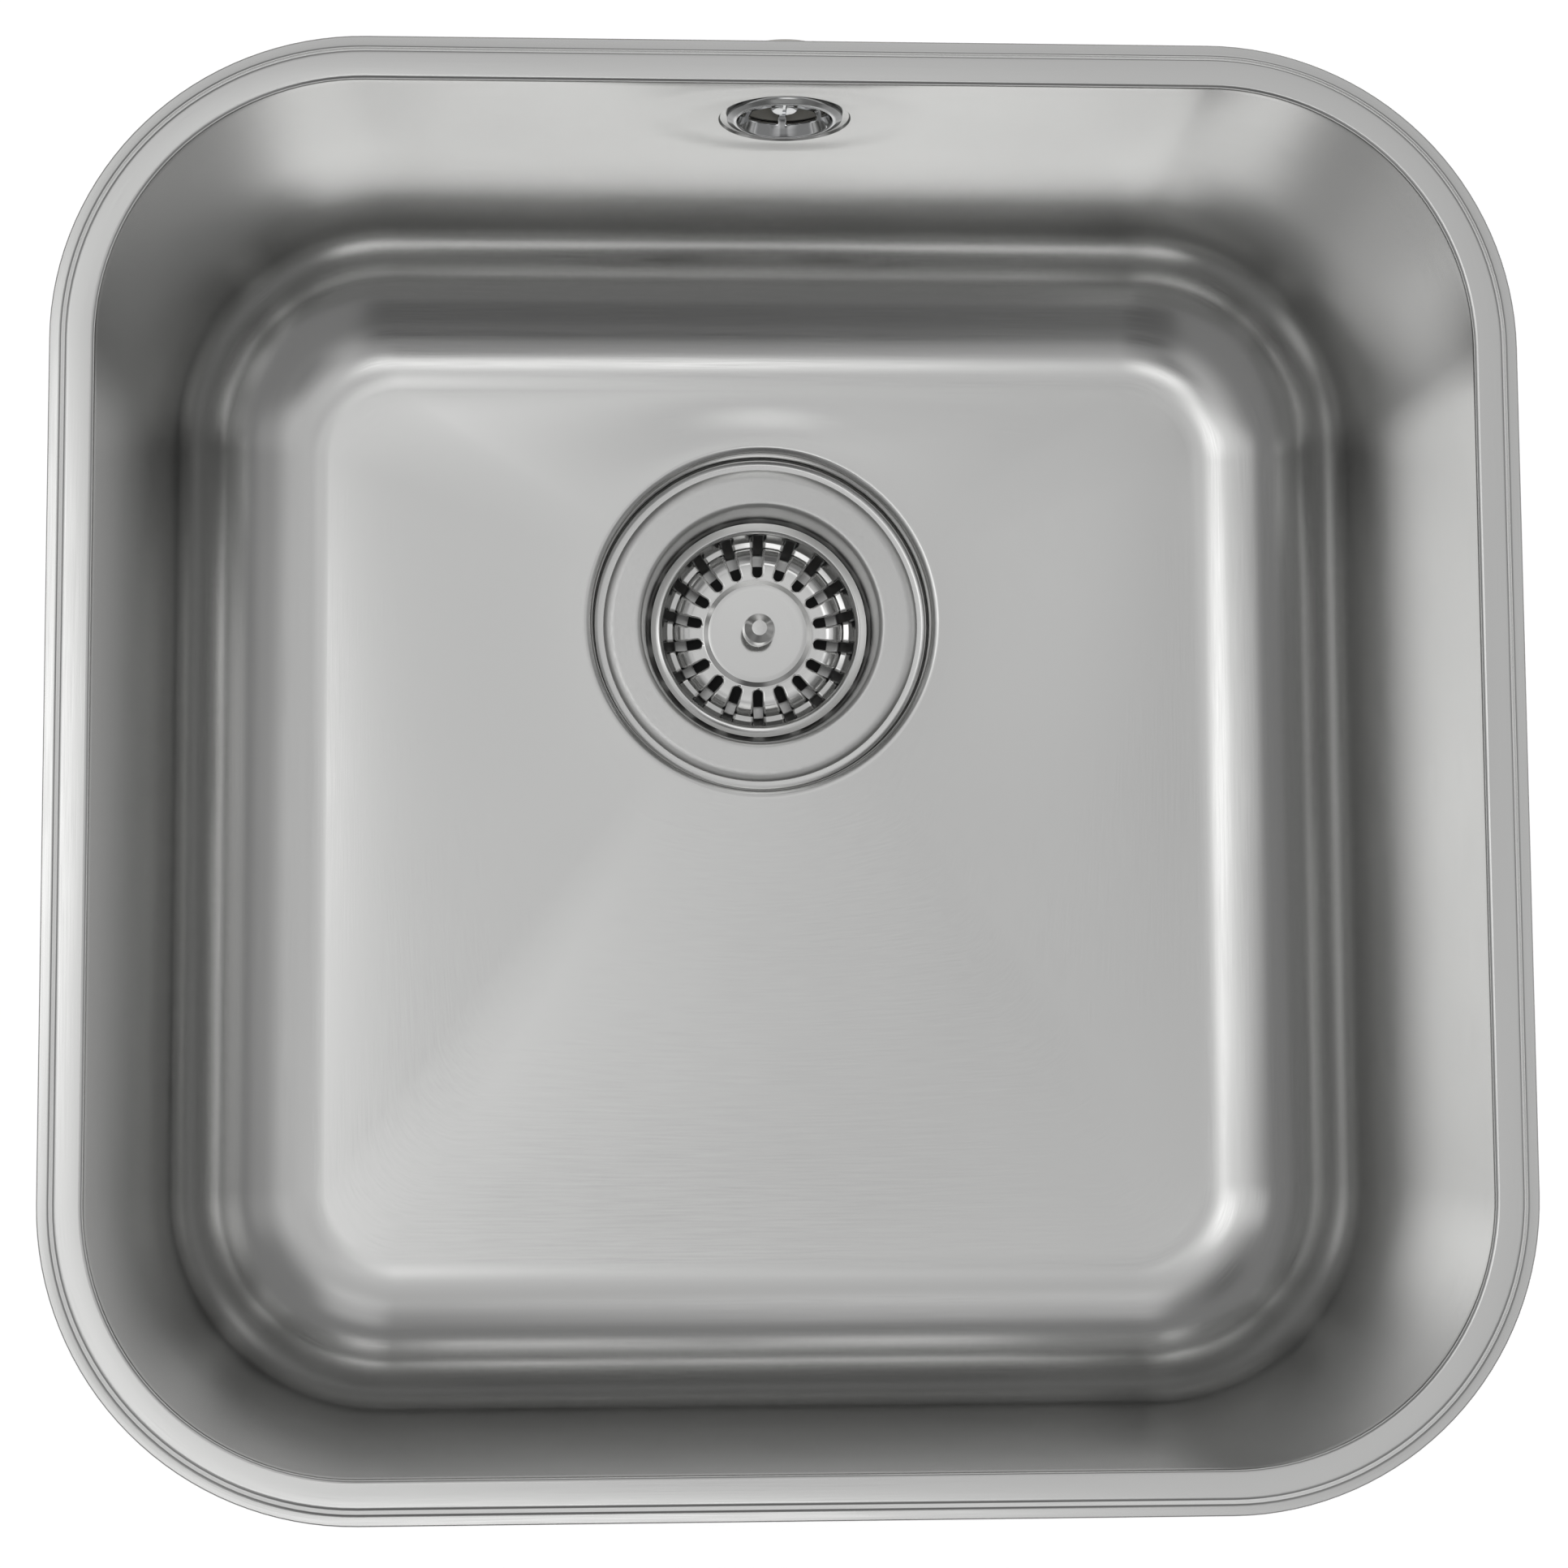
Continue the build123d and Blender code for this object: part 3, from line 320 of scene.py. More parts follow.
wall_rows = slice(len(flange_line), len(flange_line) + patch_cells + 1)
before_back = side_cells + corner_cells
back_columns = slice(before_back, before_back + len(back_places))
bowl_grid[wall_rows, back_columns] = press(bowl_grid[wall_rows, back_columns])

along_edge = np.linalg.norm(np.roll(sides[len(flange_line)], -1, 0) - sides[len(flange_line)], axis=1)
perimeter = np.concatenate([[0], np.cumsum(along_edge)])
down_steps = np.linalg.norm(np.diff(bowl_grid[:, side_cells // 2], axis=0), axis=1)
profile = np.concatenate([[0], np.cumsum(down_steps)])
quads = grid_quads(len(bowl_grid), columns)
u, v = np.meshgrid(perimeter, profile)
corner_uvs = at_corners(np.stack([u, v], -1))
first_column = before_back + len(lead)
kept = np.ones(quads.shape[:2], bool)
kept[wall_rows.start : wall_rows.stop - 1, first_column : first_column + patch_cells] = False
quads, corner_uvs = quads[kept], corner_uvs[kept]

# rings from the square patch's edge in to the seat, down its side and across to the hole
rows = np.arange(wall_rows.start, wall_rows.stop)
cells = np.arange(first_column, first_column + patch_cells + 1)
square = np.concatenate(
    [
        np.stack([np.full(patch_cells, rows[0]), cells[:-1]], 1),
        np.stack([rows[:-1], np.full(patch_cells, cells[-1])], 1),
        np.stack([np.full(patch_cells, rows[-1]), cells[:0:-1]], 1),
        np.stack([rows[:0:-1], np.full(patch_cells, cells[0])], 1),
    ]
)
square_points = bowl_grid[square[:, 0], square[:, 1]]
outward = square_points - overflow_centre
outward -= (outward @ wall_in)[:, None] * wall_in
outward_length = np.linalg.norm(outward, axis=1, keepdims=True)
outward_unit = outward / outward_length
seat_line = rounded(
    [
        (22.5 * mm, -press_depth, 0),
        (seat_radius, -press_depth, 0.5 * mm),
        (seat_radius, -press_depth - seat_depth, 0.5 * mm),
        (17.5 * mm, -press_depth - seat_depth, 0),
    ]
)
blend = np.linspace(0, 1, 6)[1:-1, None, None]
from_square = outward_unit * (outward_length * (1 - blend) + seat_line[0, 0] * blend)
inner = np.concatenate([seat_line, [(overflow_hole, -press_depth - seat_depth)]])[:, :, None]
from_seat = inner[:, :1] * outward_unit + inner[:, 1:] * wall_in
rings = [square_points[None], press(overflow_centre + from_square), overflow_centre + from_seat]
rings = np.concatenate(rings)
ring_quads = grid_quads(len(rings), rings.shape[1]) + len(bowl_grid) * columns
centre_u = perimeter[first_column + patch_cells // 2]
centre_v = profile[rows[0]] + patch_half
ring_uv = np.stack([centre_u - rings[..., 0], centre_v + (rings - overflow_centre) @ wall_down], -1)
ring_uvs = at_corners(np.concatenate([ring_uv, ring_uv[:, :1]], 1))
bowl = surface(
    "pressed_bowl",
    np.concatenate([bowl_grid.reshape(-1, 3), rings.reshape(-1, 3)]),
    np.concatenate([quads, ring_quads.reshape(-1, 4)]),
    np.concatenate([corner_uvs.reshape(-1, 2), ring_uvs.reshape(-1, 2)]),
)
thicken(bowl, sheet)
sheet_steel = brushed_metal("brushed_stainless_sheet", steel_tint, 30 * mm, 0.5 * mm, 0.2, 0.2, 0.3)
bowl.data.materials.append(sheet_steel)
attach(bowl, "root")
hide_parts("bowl")

# ---- Sound pads ----
# Three rubber sheets, cut with a die and glued to the outside of the floor and walls. They deaden the noise
# of running water.


def fitted(node, body, material, sharp=30):
    """A copy of a CAD piece's mesh, its corners merged so that it shades smoothly where it turns by less than
    the sharp angle in degrees."""
    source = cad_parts[node]
    points = np.empty(len(source.data.vertices) * 3)
    source.data.vertices.foreach_get("co", points)
    faces = [list(face.vertices) for face in source.data.polygons]
    mesh = bpy.data.meshes.new(node)
    mesh.from_pydata(points.reshape(-1, 3).tolist(), [], faces)
    mesh.transform(source.matrix_world)
    work = bmesh.new()
    work.from_mesh(mesh)
    bmesh.ops.remove_doubles(work, verts=work.verts, dist=1e-6)
    work.to_mesh(mesh)
    work.free()
    mesh.shade_smooth()
    mesh.set_sharp_from_angle(angle=np.radians(sharp))
    mesh.materials.append(material)
    piece = bpy.data.objects.new("fitted_" + node, mesh)
    bpy.context.scene.collection.objects.link(piece)
    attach(piece, body)
    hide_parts(node)
    return piece


def moulded(name, tint, roughness, grain, depth):
    """Rubber or plastic out of a mould: a faint change of shade, and a grain of a size and depth in metres.
    Such a grain scatters light, so its reflections are soft."""
    material, tree = new_material(name)
    place = add(tree, "TexCoord")
    cloud = add(tree, "TexNoise", {"Scale": 1 / 0.03, "Detail": 3}, {"Vector": place.outputs["Object"]})
    fine = add(tree, "TexNoise", {"Scale": 1 / grain, "Detail": 2}, {"Vector": place.outputs["Object"]})
    shading = {"From Min": 0.3, "From Max": 0.7, "To Min": 0.94, "To Max": 1.05}
    shade = add(tree, "MapRange", shading, {0: cloud.outputs[0]})
    product = {"data_type": "RGBA", "blend_type": "MULTIPLY", "Factor": 1, 6: linear(tint)}
    colour = add(tree, "Mix", product, {7: shade.outputs[0]})
    gloss = add(
        tree,
        "MapRange",
        {"From Min": 0.3, "From Max": 0.7, "To Min": roughness * 0.9, "To Max": roughness * 1.1},
        {"Value": cloud.outputs[0]},
    )
    relief = add(tree, "Bump", {"Strength": 0.5, "Distance": depth}, {"Height": fine.outputs[0]})
    shader = add(
        tree,
        "BsdfPrincipled",
        {"IOR": 1.5},
        {"Base Color": colour.outputs[2], "Roughness": gloss.outputs[0], "Normal": relief.outputs[0]},
    )
    add(tree, "OutputMaterial", {}, {"Surface": shader.outputs[0]})
    return material


pad_rubber = moulded("grained_pad_rubber", "#454547", 0.75, 0.6 * mm, 0.05 * mm)
for place_name in ("floor", "left", "right"):
    fitted("sound_pad_" + place_name, "root", pad_rubber)

# ---- Waste flange ----
# One pressing of satin stainless steel: a ring that lies in the well, a cup with a ledge for the strainer
# basket, and openings in the cup's floor. It is clamped down on a rubber washer.
waste_centre = np.array([*well_centre, 0])


def spread(line, longest):
    """A line's points, with more between them where they lie further apart than the longest step."""
    parts = [np.array(line[:1], float)]
    for start, end in zip(line, line[1:]):
        steps = max(1, int(np.ceil(np.hypot(*(np.array(end) - start)) / longest)))
        parts.append(np.array(start) + np.linspace(0, 1, steps + 1)[1:, None] * (np.array(end) - start))
    return np.concatenate(parts)


def swept(name, line, angles, open_cells=None, place=None):
    """A surface round an axis: each row has its (radius, height) from the line and its own angles, the last a
    full turn after the first. Open cells are left out. place moves the points from the axis to where the
    piece is, which is otherwise the waste's centre."""
    columns = angles.shape[1] - 1
    radius, height = line[:, :1], line[:, 1:]
    across, up = radius * np.cos(angles[:, :-1]), radius * np.sin(angles[:, :-1])
    points = np.stack([across, up, np.broadcast_to(height, across.shape)], -1)
    length = np.concatenate([[0], np.cumsum(np.hypot(*np.diff(line, axis=0).T))])
    strokes = np.stack([angles * line[:, 0].max(), np.broadcast_to(length[:, None], angles.shape)], -1)
    quads = grid_quads(len(line), columns)
    kept = np.ones(quads.shape[:2], bool) if open_cells is None else ~open_cells
    points = waste_centre + points if place is None else place(points)
    return surface(name, points.reshape(-1, 3), quads[kept], at_corners(strokes)[kept])


def sector_angles(halves, count, across, beside, start=0.0):
    """Angles of the columns of a pierced sheet, row by row: in each of count sectors, steps beside, across
    and beside the opening, whose half angle is the row's. start is the angle of the first opening."""
    middle = np.arange(count)[None, :, None] * 2 * np.pi / count + start
    half, edge = halves[:, None, None], np.pi / count
    before = -edge + (edge - half) * np.linspace(0, 1, beside + 1)[:-1]
    over = -half + 2 * half * np.linspace(0, 1, across + 1)[:-1]
    after = half + (edge - half) * np.linspace(0, 1, beside + 1)[:-1]
    angles = (middle + np.concatenate([before, over, after], 2)).reshape(len(halves), -1)
    return np.concatenate([angles, angles[:, :1] + 2 * np.pi], 1)


def open_grid(rows_open, count, across, beside):
    """The cells of a pierced sheet that are left out: those across an opening, between two open rows."""
    cell = np.tile(np.r_[np.zeros(beside, bool), np.ones(across, bool), np.zeros(beside, bool)], count)
    return (rows_open[:-1] & rows_open[1:])[:, None] & cell[None]


ring_radius, ring_z = 57 * mm, -202 * mm
cup_floor, cup_centre = -236 * mm, -238 * mm
ports, port_inner, port_outer, port_bridge = 6, 13.5 * mm, 22 * mm, 4 * mm
across_port, beside_port = 16, 3  # columns of the mesh
# the ring and cup's upper side, as (radius, height), from the ring's edge in to the screw's hole
cup_line = rounded(
    [
        (ring_radius, ring_z - 1.2 * mm, 0),
        (ring_radius, ring_z, 1.0 * mm),
        (55.6 * mm, ring_z, 0),
        (45.8 * mm, ring_z, 0),
        (43.4 * mm, ring_z, 2.0 * mm),
        (41.2 * mm, -216 * mm, 1.6 * mm),
        (38 * mm, -219.2 * mm, 1.6 * mm),
        (31 * mm, cup_floor, 1.6 * mm),
        (port_outer, cup_floor, 0),
        (port_inner, cup_floor, 0),
        (13 * mm, cup_floor, 0),
        (11 * mm, cup_centre, 0.3 * mm),
        (7.2 * mm, cup_centre, 0),
    ]
)
cup_line = spread(cup_line, 2.5 * mm)
at_floor = abs(cup_line[:, 1] - cup_floor) < close
in_port = at_floor & (cup_line[:, 0] > port_inner - close) & (cup_line[:, 0] < port_outer + close)
reach = np.clip(cup_line[:, 0], port_inner, port_outer)
port_half = np.pi / ports - np.arcsin(port_bridge / 2 / reach)
waste_flange = swept(
    "pressed_waste_flange",
    cup_line,
    sector_angles(port_half, ports, across_port, beside_port, np.pi / ports),
    open_grid(in_port, ports, across_port, beside_port),
)
thicken(waste_flange, 0.8 * mm)
waste_steel = brushed_metal("satin_waste_steel", steel_tint, 2 * mm, 0.6 * mm, 0.34, 0.25, 0.1)
waste_flange.data.materials.append(waste_steel)
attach(waste_flange, "root")
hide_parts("waste_flange")
black_rubber = moulded("smooth_black_rubber", "#2B2B2C", 0.55, 0.4 * mm, 0.02 * mm)
fitted("flange_seal", "root", black_rubber)

# ---- Waste body ----
# A plastic chamber, moulded with a flange, ribs, a spider that holds a brass insert, and a spigot for the
# overflow pipe. A hollow steel screw in the insert clamps cup, washers, bowl and body together.
white_plastic = moulded("moulded_white_plastic", "#DDDBD4", 0.4, 0.8 * mm, 0.01 * mm)
screw_steel = brushed_metal("plain_screw_steel", "#B8B8B6", 20 * mm, 0.3 * mm, 0.3, 0.1, 0.0)
brass = brushed_metal("turned_brass", "#C2A05C", 20 * mm, 0.3 * mm, 0.3, 0.1, 0.0)
fitted("body_gasket", "root", black_rubber)
fitted("waste_body", "root", white_plastic)
fitted("body_insert", "root", brass)
fitted("fixing_screw", "root", screw_steel)

# The outlet's pipe thread: the radius goes in by the thread's depth times a wave, whose phase is the height
# over the pitch less the share of a turn. Its crests and roots are cut flat, and it runs out at the end.
spigot_low, spigot_high = -292 * mm, -265 * mm
spigot_radius, spigot_bore = 23.9 * mm, 20 * mm
thread_pitch, thread_depth, thread_top = 2.309 * mm, 1.4 * mm, -276 * mm
thread_columns = 96
threaded, plain = np.linspace(spigot_low, thread_top, 98), np.linspace(thread_top, spigot_high, 12)
rise = np.concatenate([threaded, plain[1:]])[:, None]
turn = np.linspace(0, 2 * np.pi, thread_columns + 1)[:-1][None]
wave = abs(((rise - spigot_low) / thread_pitch - turn / (2 * np.pi)) % 1 * 2 - 1)
cut = np.clip(wave * 1.3 - 0.15, 0, 1) * np.clip((rise - spigot_low) / thread_pitch, 0, 1)
radius = spigot_radius - thread_depth * np.where(rise < thread_top, cut, 1)
outside = np.stack([radius * np.cos(turn), radius * np.sin(turn), np.broadcast_to(rise, radius.shape)], -1)
rim = np.stack([np.cos(turn[0]), np.sin(turn[0]), np.zeros(thread_columns)], -1) * spigot_bore
inside = [rim + [0, 0, spigot_high], rim + [0, 0, spigot_low], outside[0]]
spigot_grid = waste_centre + np.concatenate([outside, np.stack(inside)])
u, v = np.meshgrid(np.arange(thread_columns + 1) * 1.5 * mm, np.arange(len(spigot_grid)) * 0.3 * mm)
spigot = surface(
    "threaded_waste_spigot",
    spigot_grid.reshape(-1, 3),
    grid_quads(len(spigot_grid), thread_columns),
    at_corners(np.stack([u, v], -1)),
)
spigot.data.set_sharp_from_angle(angle=np.radians(40))
spigot.data.materials.append(white_plastic)
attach(spigot, "root")
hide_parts("waste_spigot")

# ---- Strainer basket ----
# A cup of polished stainless steel with 18 slots pressed through its floor and wall, a turned steel knob and,
# below it, a rubber stopper. A stem holds them, which a split plastic catch centres in the hollow screw.
slots = 18
across_slot, beside_slot = 1, 3  # columns of the mesh
slot_half, slot_start, slot_top = 1.75 * mm, 20.9 * mm, -216.9 * mm
wall_foot, wall_top = np.array([33.6, -221.3]) * mm, np.array([35.6, -216]) * mm
rim_radius, rim_z = 39.6 * mm, -215 * mm
slot_end = wall_foot + (wall_top - wall_foot) * (slot_top - wall_foot[1]) / (wall_top[1] - wall_foot[1])
basket_floor_z, disc_z = -226 * mm, -225.2 * mm
bend_radius = 7.15 * mm
basket_bend = arc((25 * mm, basket_floor_z + bend_radius), bend_radius, -22.6, -90, 12)
slot_round = slot_start + slot_half * (1 - np.cos(np.linspace(np.pi / 2, 0, 7)))
basket_rim = rounded(
    [
        (rim_radius, rim_z - 1.1 * mm, 0),
        (rim_radius, rim_z, 1.05 * mm),
        (36.6 * mm, rim_z, 0.7 * mm),
        (*wall_top, 0.3 * mm),
        (*slot_end, 0),
        (*wall_foot, 0.5 * mm),
        (*basket_bend[0], 0),
    ],
    8,
)
basket_disc = rounded(
    [
        (slot_start, basket_floor_z, 0),
        (20 * mm, basket_floor_z, 0.4 * mm),
        (18.2 * mm, disc_z, 0.4 * mm),
        (2.05 * mm, disc_z, 0),
    ]
)
basket_floor = np.stack([slot_round[:-1], np.full(len(slot_round) - 1, basket_floor_z)], 1)
basket_bend, basket_disc = spread(basket_bend, 1 * mm), spread(basket_disc, 2 * mm)
basket_line = np.concatenate([basket_rim, basket_bend[1:], basket_floor, basket_disc])
in_slot = (basket_line[:, 1] < slot_top + close) & (basket_line[:, 0] > slot_start - close)
from_end = np.clip(basket_line[:, 0] - slot_start, 0, slot_half)
half_width = np.sqrt(np.maximum(0, slot_half**2 - (slot_half - from_end) ** 2))  # a round inner end
slot_angle = np.arcsin(half_width / basket_line[:, 0])
basket = swept(
    "slotted_basket",
    basket_line,
    sector_angles(slot_angle, slots, across_slot, beside_slot, np.pi / 2),
    open_grid(in_slot, slots, across_slot, beside_slot),
)
thicken(basket, 0.8 * mm)
basket_steel = brushed_metal("polished_basket_steel", steel_tint, 60 * mm, 0.25 * mm, 0.13, 0.08, 0.1)
basket.data.materials.append(basket_steel)
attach(basket, "basket")
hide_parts("basket_cup")

bulge = np.linspace(0, 1, 15)[:, None]
neck, belly, shoulder = np.array([3.6, 5.5]) * mm, np.array([6, 8.5]) * mm, np.array([5.4, 13.2]) * mm


def hermite(start, end, start_way, end_way, share):
    """The cubic from start to end that leaves along one way and arrives along the other."""
    square, cube = share**2, share**3
    return (
        (2 * cube - 3 * square + 1) * start
        + (cube - 2 * square + share) * start_way
        + (3 * square - 2 * cube) * end
        + (cube - square) * end_way
    )


knob_line = np.concatenate(
    [
        rounded([(5 * mm, 0, 0), (5 * mm, 0.8 * mm, 0.3 * mm), (3.6 * mm, 1.8 * mm, 0.5 * mm), (*neck, 0)]),
        hermite(neck, belly, np.array([3, 1]) * mm, np.array([0, 3]) * mm, bulge)[1:],
        hermite(belly, shoulder, np.array([0, 5]) * mm, np.array([-1, 5]) * mm, bulge)[1:],
        rounded([tuple(shoulder) + (0,), (2.75 * mm, 14.8 * mm, 0.2 * mm), (0, 14.8 * mm, 0)])[1:],
    ]
)
knob_line[:, 1] += disc_z
full_turn = np.linspace(0, 2 * np.pi, 97)
knob = swept("turned_knob", knob_line, np.broadcast_to(full_turn, (len(knob_line), len(full_turn))))
knob.data.set_sharp_from_angle(angle=np.radians(25))
knob_steel = brushed_metal("turned_knob_steel", steel_tint, 40 * mm, 0.15 * mm, 0.22, 0.3, 0.3)
knob.data.materials.append(knob_steel)
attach(knob, "basket")
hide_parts("basket_knob")
fitted("basket_stopper", "basket", black_rubber)
for node in ("basket_stem", "stopper_washer", "stem_nut"):
    fitted(node, "basket", screw_steel)
catch_plastic = moulded("black_catch_plastic", "#2A2A2A", 0.35, 0.8 * mm, 0.01 * mm)
fitted("stem_catch", "catch", catch_plastic)

# ---- Overflow ----
# A chromed, dished rose over the hole in the back wall. One slotted screw draws it towards a brass insert in
# a plastic elbow behind the wall, with a rubber gasket between.
rose_ports, rose_inner, rose_outer, rose_spoke = 6, 5.2 * mm, 13.3 * mm, 2.6 * mm
across_opening, beside_opening = 12, 3  # columns of the mesh
rose_radius, rose_floor = 18.3 * mm, -5 * mm
# the rose's front, as (radius, height above the pressed oval), from its edge in to the screw's hole
rose_line = rounded(
    [
        (rose_radius, -seat_depth, 0),
        (rose_radius, 1.0 * mm, 1.0 * mm),
        (15.2 * mm, 1.0 * mm, 0.8 * mm),
        (12.4 * mm, rose_floor, 1.0 * mm),
        (rose_inner, rose_floor, 0),
        (2.55 * mm, rose_floor, 0),
    ],
    9,
)
rose_line = spread(rose_line, 1.2 * mm)
port_edge = np.argmin(abs(rose_line[:, 0] - rose_outer))
rose_line[port_edge, 0] = rose_outer
in_rose_port = (rose_line[:, 0] > rose_inner - close) & (rose_line[:, 0] < rose_outer + close)
reach = np.clip(rose_line[:, 0], rose_inner, rose_outer)
opening_half = np.pi / rose_ports - np.arcsin(rose_spoke / 2 / reach)
rose_centre = overflow_centre - press_depth * wall_in


def on_wall(points):
    """Points (across, up, out of the wall) at the rose's centre, turned to the sloping back wall."""
    return rose_centre + points @ np.array([[1, 0, 0], -wall_down, wall_in])


rose = swept(
    "dished_overflow_rose",
    rose_line,
    sector_angles(opening_half, rose_ports, across_opening, beside_opening, np.pi / 3),
    open_grid(in_rose_port, rose_ports, across_opening, beside_opening),
    on_wall,
)
thicken(rose, 1 * mm)
chrome = brushed_metal("bright_chrome_plate", "#DADBDC", 60 * mm, 0.5 * mm, 0.07, 0.02, 0.0)
rose.data.materials.append(chrome)
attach(rose, "root")
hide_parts("overflow_rose")
fitted("rose_screw", "root", chrome)
fitted("rose_gasket", "root", black_rubber)
fitted("overflow_elbow", "root", white_plastic)
fitted("elbow_insert", "root", brass)

# ---- Overflow pipe ----
# A ribbed plastic hose from the elbow down and forward to the waste body. At each end a moulded union nut
# squeezes a rubber cone onto it.
hose_plastic = moulded("ribbed_hose_plastic", "#CFCDC8", 0.5, 0.8 * mm, 0.02 * mm)
fitted("overflow_pipe", "root", hose_plastic)
for end_name in ("upper", "lower"):
    fitted("pipe_seal_" + end_name, "root", black_rubber)
    fitted("pipe_nut_" + end_name, "root", white_plastic)

# ---- Room ----
# A plain pale floor under the sink and soft light from all round, with large soft panels above.
floor_size = 30  # metres
bpy.ops.mesh.primitive_plane_add(size=floor_size, location=(0, 0, cad_low.z))
floor = bpy.context.object
floor.name = "studio_floor"
material, tree = new_material("pale_floor")
paths = add(tree, "LightPath")
seen, mirrored = 0.7, 0.2  # glow that makes it white to the camera, and pale grey where metal shows it
by_metal = {0: paths.outputs["Is Glossy Ray"], 1: paths.outputs["Is Transmission Ray"]}
by_metal = add(tree, "Math", {"operation": "MAXIMUM"}, by_metal)
by_metal = add(tree, "Math", {"operation": "MULTIPLY", 1: mirrored}, {0: by_metal.outputs[0]}).outputs[0]
by_camera = paths.outputs["Is Camera Ray"]
lift = add(tree, "Math", {"operation": "MULTIPLY_ADD", 1: seen}, {0: by_camera, 2: by_metal})
shader = add(
    tree,
    "BsdfPrincipled",
    {"Base Color": linear("#F2F2F2"), "Roughness": 0.9, "Emission Color": (1, 1, 1, 1)},
    {"Emission Strength": lift.outputs[0]},
)
add(tree, "OutputMaterial", {}, {"Surface": shader.outputs[0]})
floor.data.materials.append(material)

world = bpy.data.worlds.new("soft_studio")
bpy.context.scene.world = world
world.use_nodes = True
tree = world.node_tree
tree.nodes.clear()
place = add(tree, "TexCoord")
split = add(tree, "SeparateXYZ", {}, {0: place.outputs["Generated"]})
smooth = {"interpolation_type": "SMOOTHSTEP"}
around = {**smooth, "From Min": 0.0, "From Max": 0.35, "To Min": 1.0, "To Max": 0.24}
above = {**smooth, "From Min": 0.7, "From Max": 1.0, "To Min": 0.0, "To Max": 0.42}
light = add(tree, "MapRange", around, {"Value": split.outputs["Z"]}).outputs[0]
above = add(tree, "MapRange", above, {"Value": split.outputs["Z"]}).outputs[0]
light = add(tree, "Math", {"operation": "ADD"}, {0: light, 1: above}).outputs[0]


def panel(tree, light, azimuth, elevation, half_width, half_height, soft, strength):
    """Adds a soft rectangle to the world's light, at an azimuth from +X and an elevation in degrees. A
    direction's place on it is its sideways and upward part divided by its part towards the panel, so sizes
    are tangents of angles. A strength below 0 takes light away."""
    turn, tilt = np.radians(azimuth), np.radians(elevation)
    towards = (np.cos(turn) * np.cos(tilt), np.sin(turn) * np.cos(tilt), np.sin(tilt))
    sideways = (-np.sin(turn), np.cos(turn), 0)
    upward = (-np.cos(turn) * np.sin(tilt), -np.sin(turn) * np.sin(tilt), np.cos(tilt))
    place = add(tree, "TexCoord").outputs["Generated"]
    ahead = add(tree, "VectorMath", {"operation": "DOT_PRODUCT", 1: towards}, {0: place}).outputs["Value"]
    ahead = add(tree, "Math", {"operation": "MAXIMUM", 1: 0.001}, {0: ahead}).outputs[0]
    masks = []
    for axis, half in ((sideways, half_width), (upward, half_height)):
        part = add(tree, "VectorMath", {"operation": "DOT_PRODUCT", 1: axis}, {0: place}).outputs["Value"]
        part = add(tree, "Math", {"operation": "DIVIDE"}, {0: part, 1: ahead}).outputs[0]
        part = add(tree, "Math", {"operation": "ABSOLUTE"}, {0: part}).outputs[0]
        fade = {**smooth, "From Min": half - soft, "From Max": half + soft, "To Min": 1, "To Max": 0}
        masks.append(add(tree, "MapRange", fade, {"Value": part}).outputs[0])
    mask = add(tree, "Math", {"operation": "MULTIPLY"}, {0: masks[0], 1: masks[1]}).outputs[0]
    return add(tree, "Math", {"operation": "MULTIPLY_ADD", 1: strength}, {0: mask, 2: light}).outputs[0]


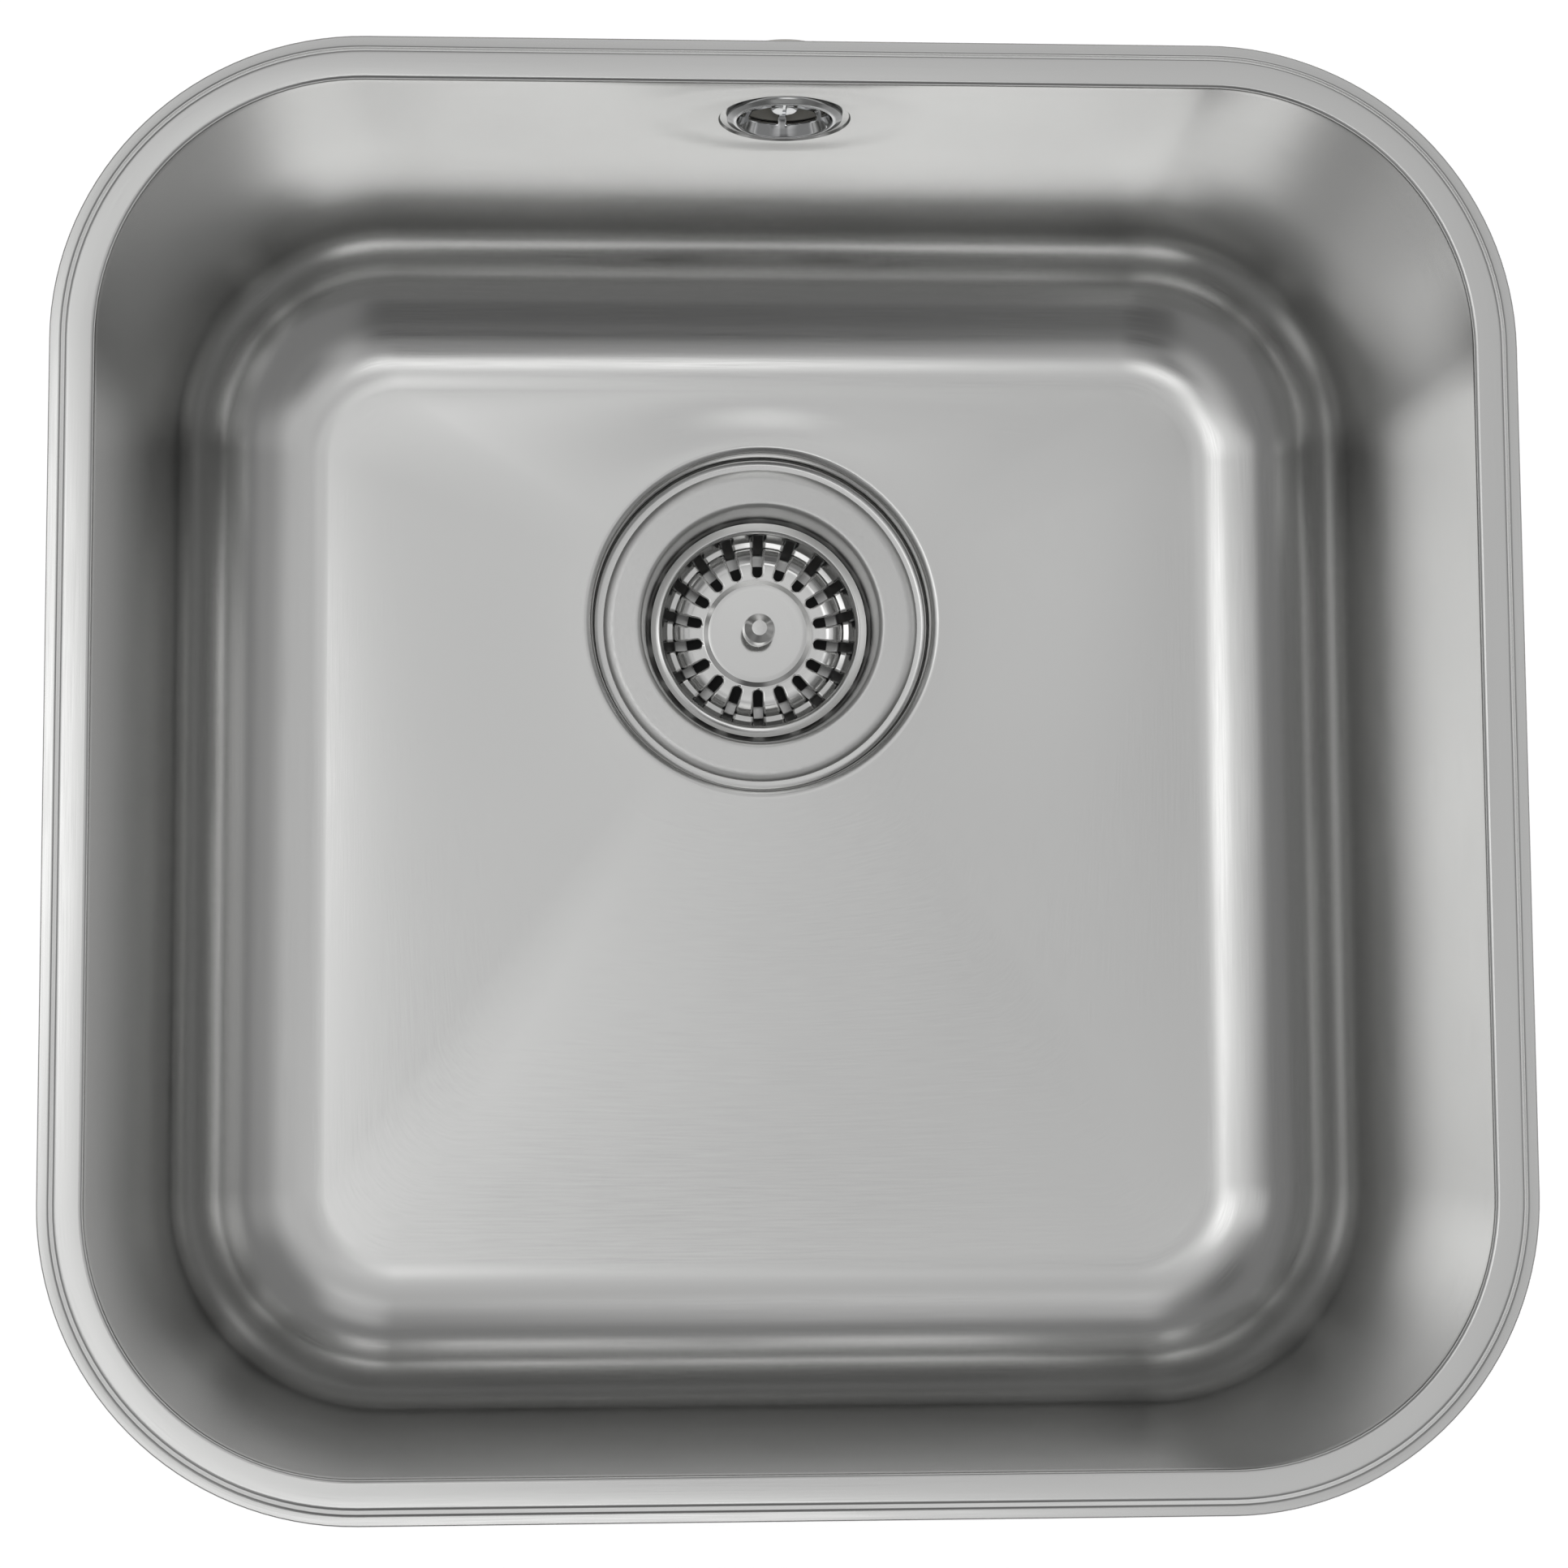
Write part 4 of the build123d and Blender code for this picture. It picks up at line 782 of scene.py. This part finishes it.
for placed in (
    # azimuth, elevation, half width, half height, soft edge, strength
    (152, 77, 0.10, 0.12, 0.04, 1.0),
    (168, 58, 0.12, 0.25, 0.06, 0.4),
    (256, 80, 0.14, 0.07, 0.03, 0.9),
    (268, 64, 0.16, 0.18, 0.06, -0.25),
    (268, 42, 0.22, 0.30, 0.08, -0.12),
    (76, 50, 0.20, 0.20, 0.08, 0.3),
    (6, 50, 0.15, 0.30, 0.10, 0.15),
    (238, 73, 0.12, 0.13, 0.06, -0.3),
    (330, 60, 0.16, 0.14, 0.07, -0.18),
    (125, 48, 0.15, 0.18, 0.08, -0.1),
    (146, 86, 0.06, 0.05, 0.03, 0.12),
    (333, 88, 0.03, 0.06, 0.03, -0.2),
    (71, 79, 0.03, 0.05, 0.03, 0.25),
    (37, 80, 0.06, 0.06, 0.03, -0.12),
):
    light = panel(tree, light, *placed)

# The real floor throws more light onto the walls than this one does, so these panels shine only on rays that
# come by way of a second surface. The world sees those at a depth of 3.
second_depth = 3
by_way = add(tree, "Value").outputs[0]  # it is 0, and the panels are added to it
for placed in (
    # azimuth, elevation, half width, half height, soft edge, strength
    (274, 46, 0.21, 0.42, 0.08, 1.25),
    (170, 40, 0.20, 0.60, 0.12, 0.45),
    (206, 38, 0.16, 0.42, 0.08, 0.35),
    (43, 35, 0.10, 0.15, 0.05, 0.35),
):
    by_way = panel(tree, by_way, *placed)
ray_depth = add(tree, "LightPath").outputs["Ray Depth"]
on_second = add(tree, "Math", {"operation": "COMPARE", 1: second_depth, 2: 0.5}, {0: ray_depth}).outputs[0]
light = add(tree, "Math", {"operation": "MULTIPLY_ADD"}, {0: on_second, 1: by_way, 2: light}).outputs[0]
background = add(tree, "Background", {"Color": (1, 1, 1, 1)}, {"Strength": light})
add(tree, "OutputWorld", {}, {"Surface": background.outputs[0]})

# the photograph's view: almost straight down, from a little in front and to the left
camera_place = (-61.1 * mm, -104.7 * mm, 1022.4 * mm)
camera_turn = (5.539, -3.203, -0.333)
lens_over_width = 2.175  # focal length over the width of the picture
sensor_width = 36  # millimetres
camera = bpy.data.objects.new("camera", bpy.data.cameras.new("camera"))
camera.data.sensor_width = sensor_width
camera.data.lens = sensor_width * lens_over_width
camera.data.clip_end = 100
camera.location = camera_place
camera.rotation_euler = np.radians(camera_turn)
bpy.context.scene.collection.objects.link(camera)
bpy.context.scene.camera = camera
bpy.context.scene.view_settings.view_transform = "Standard"
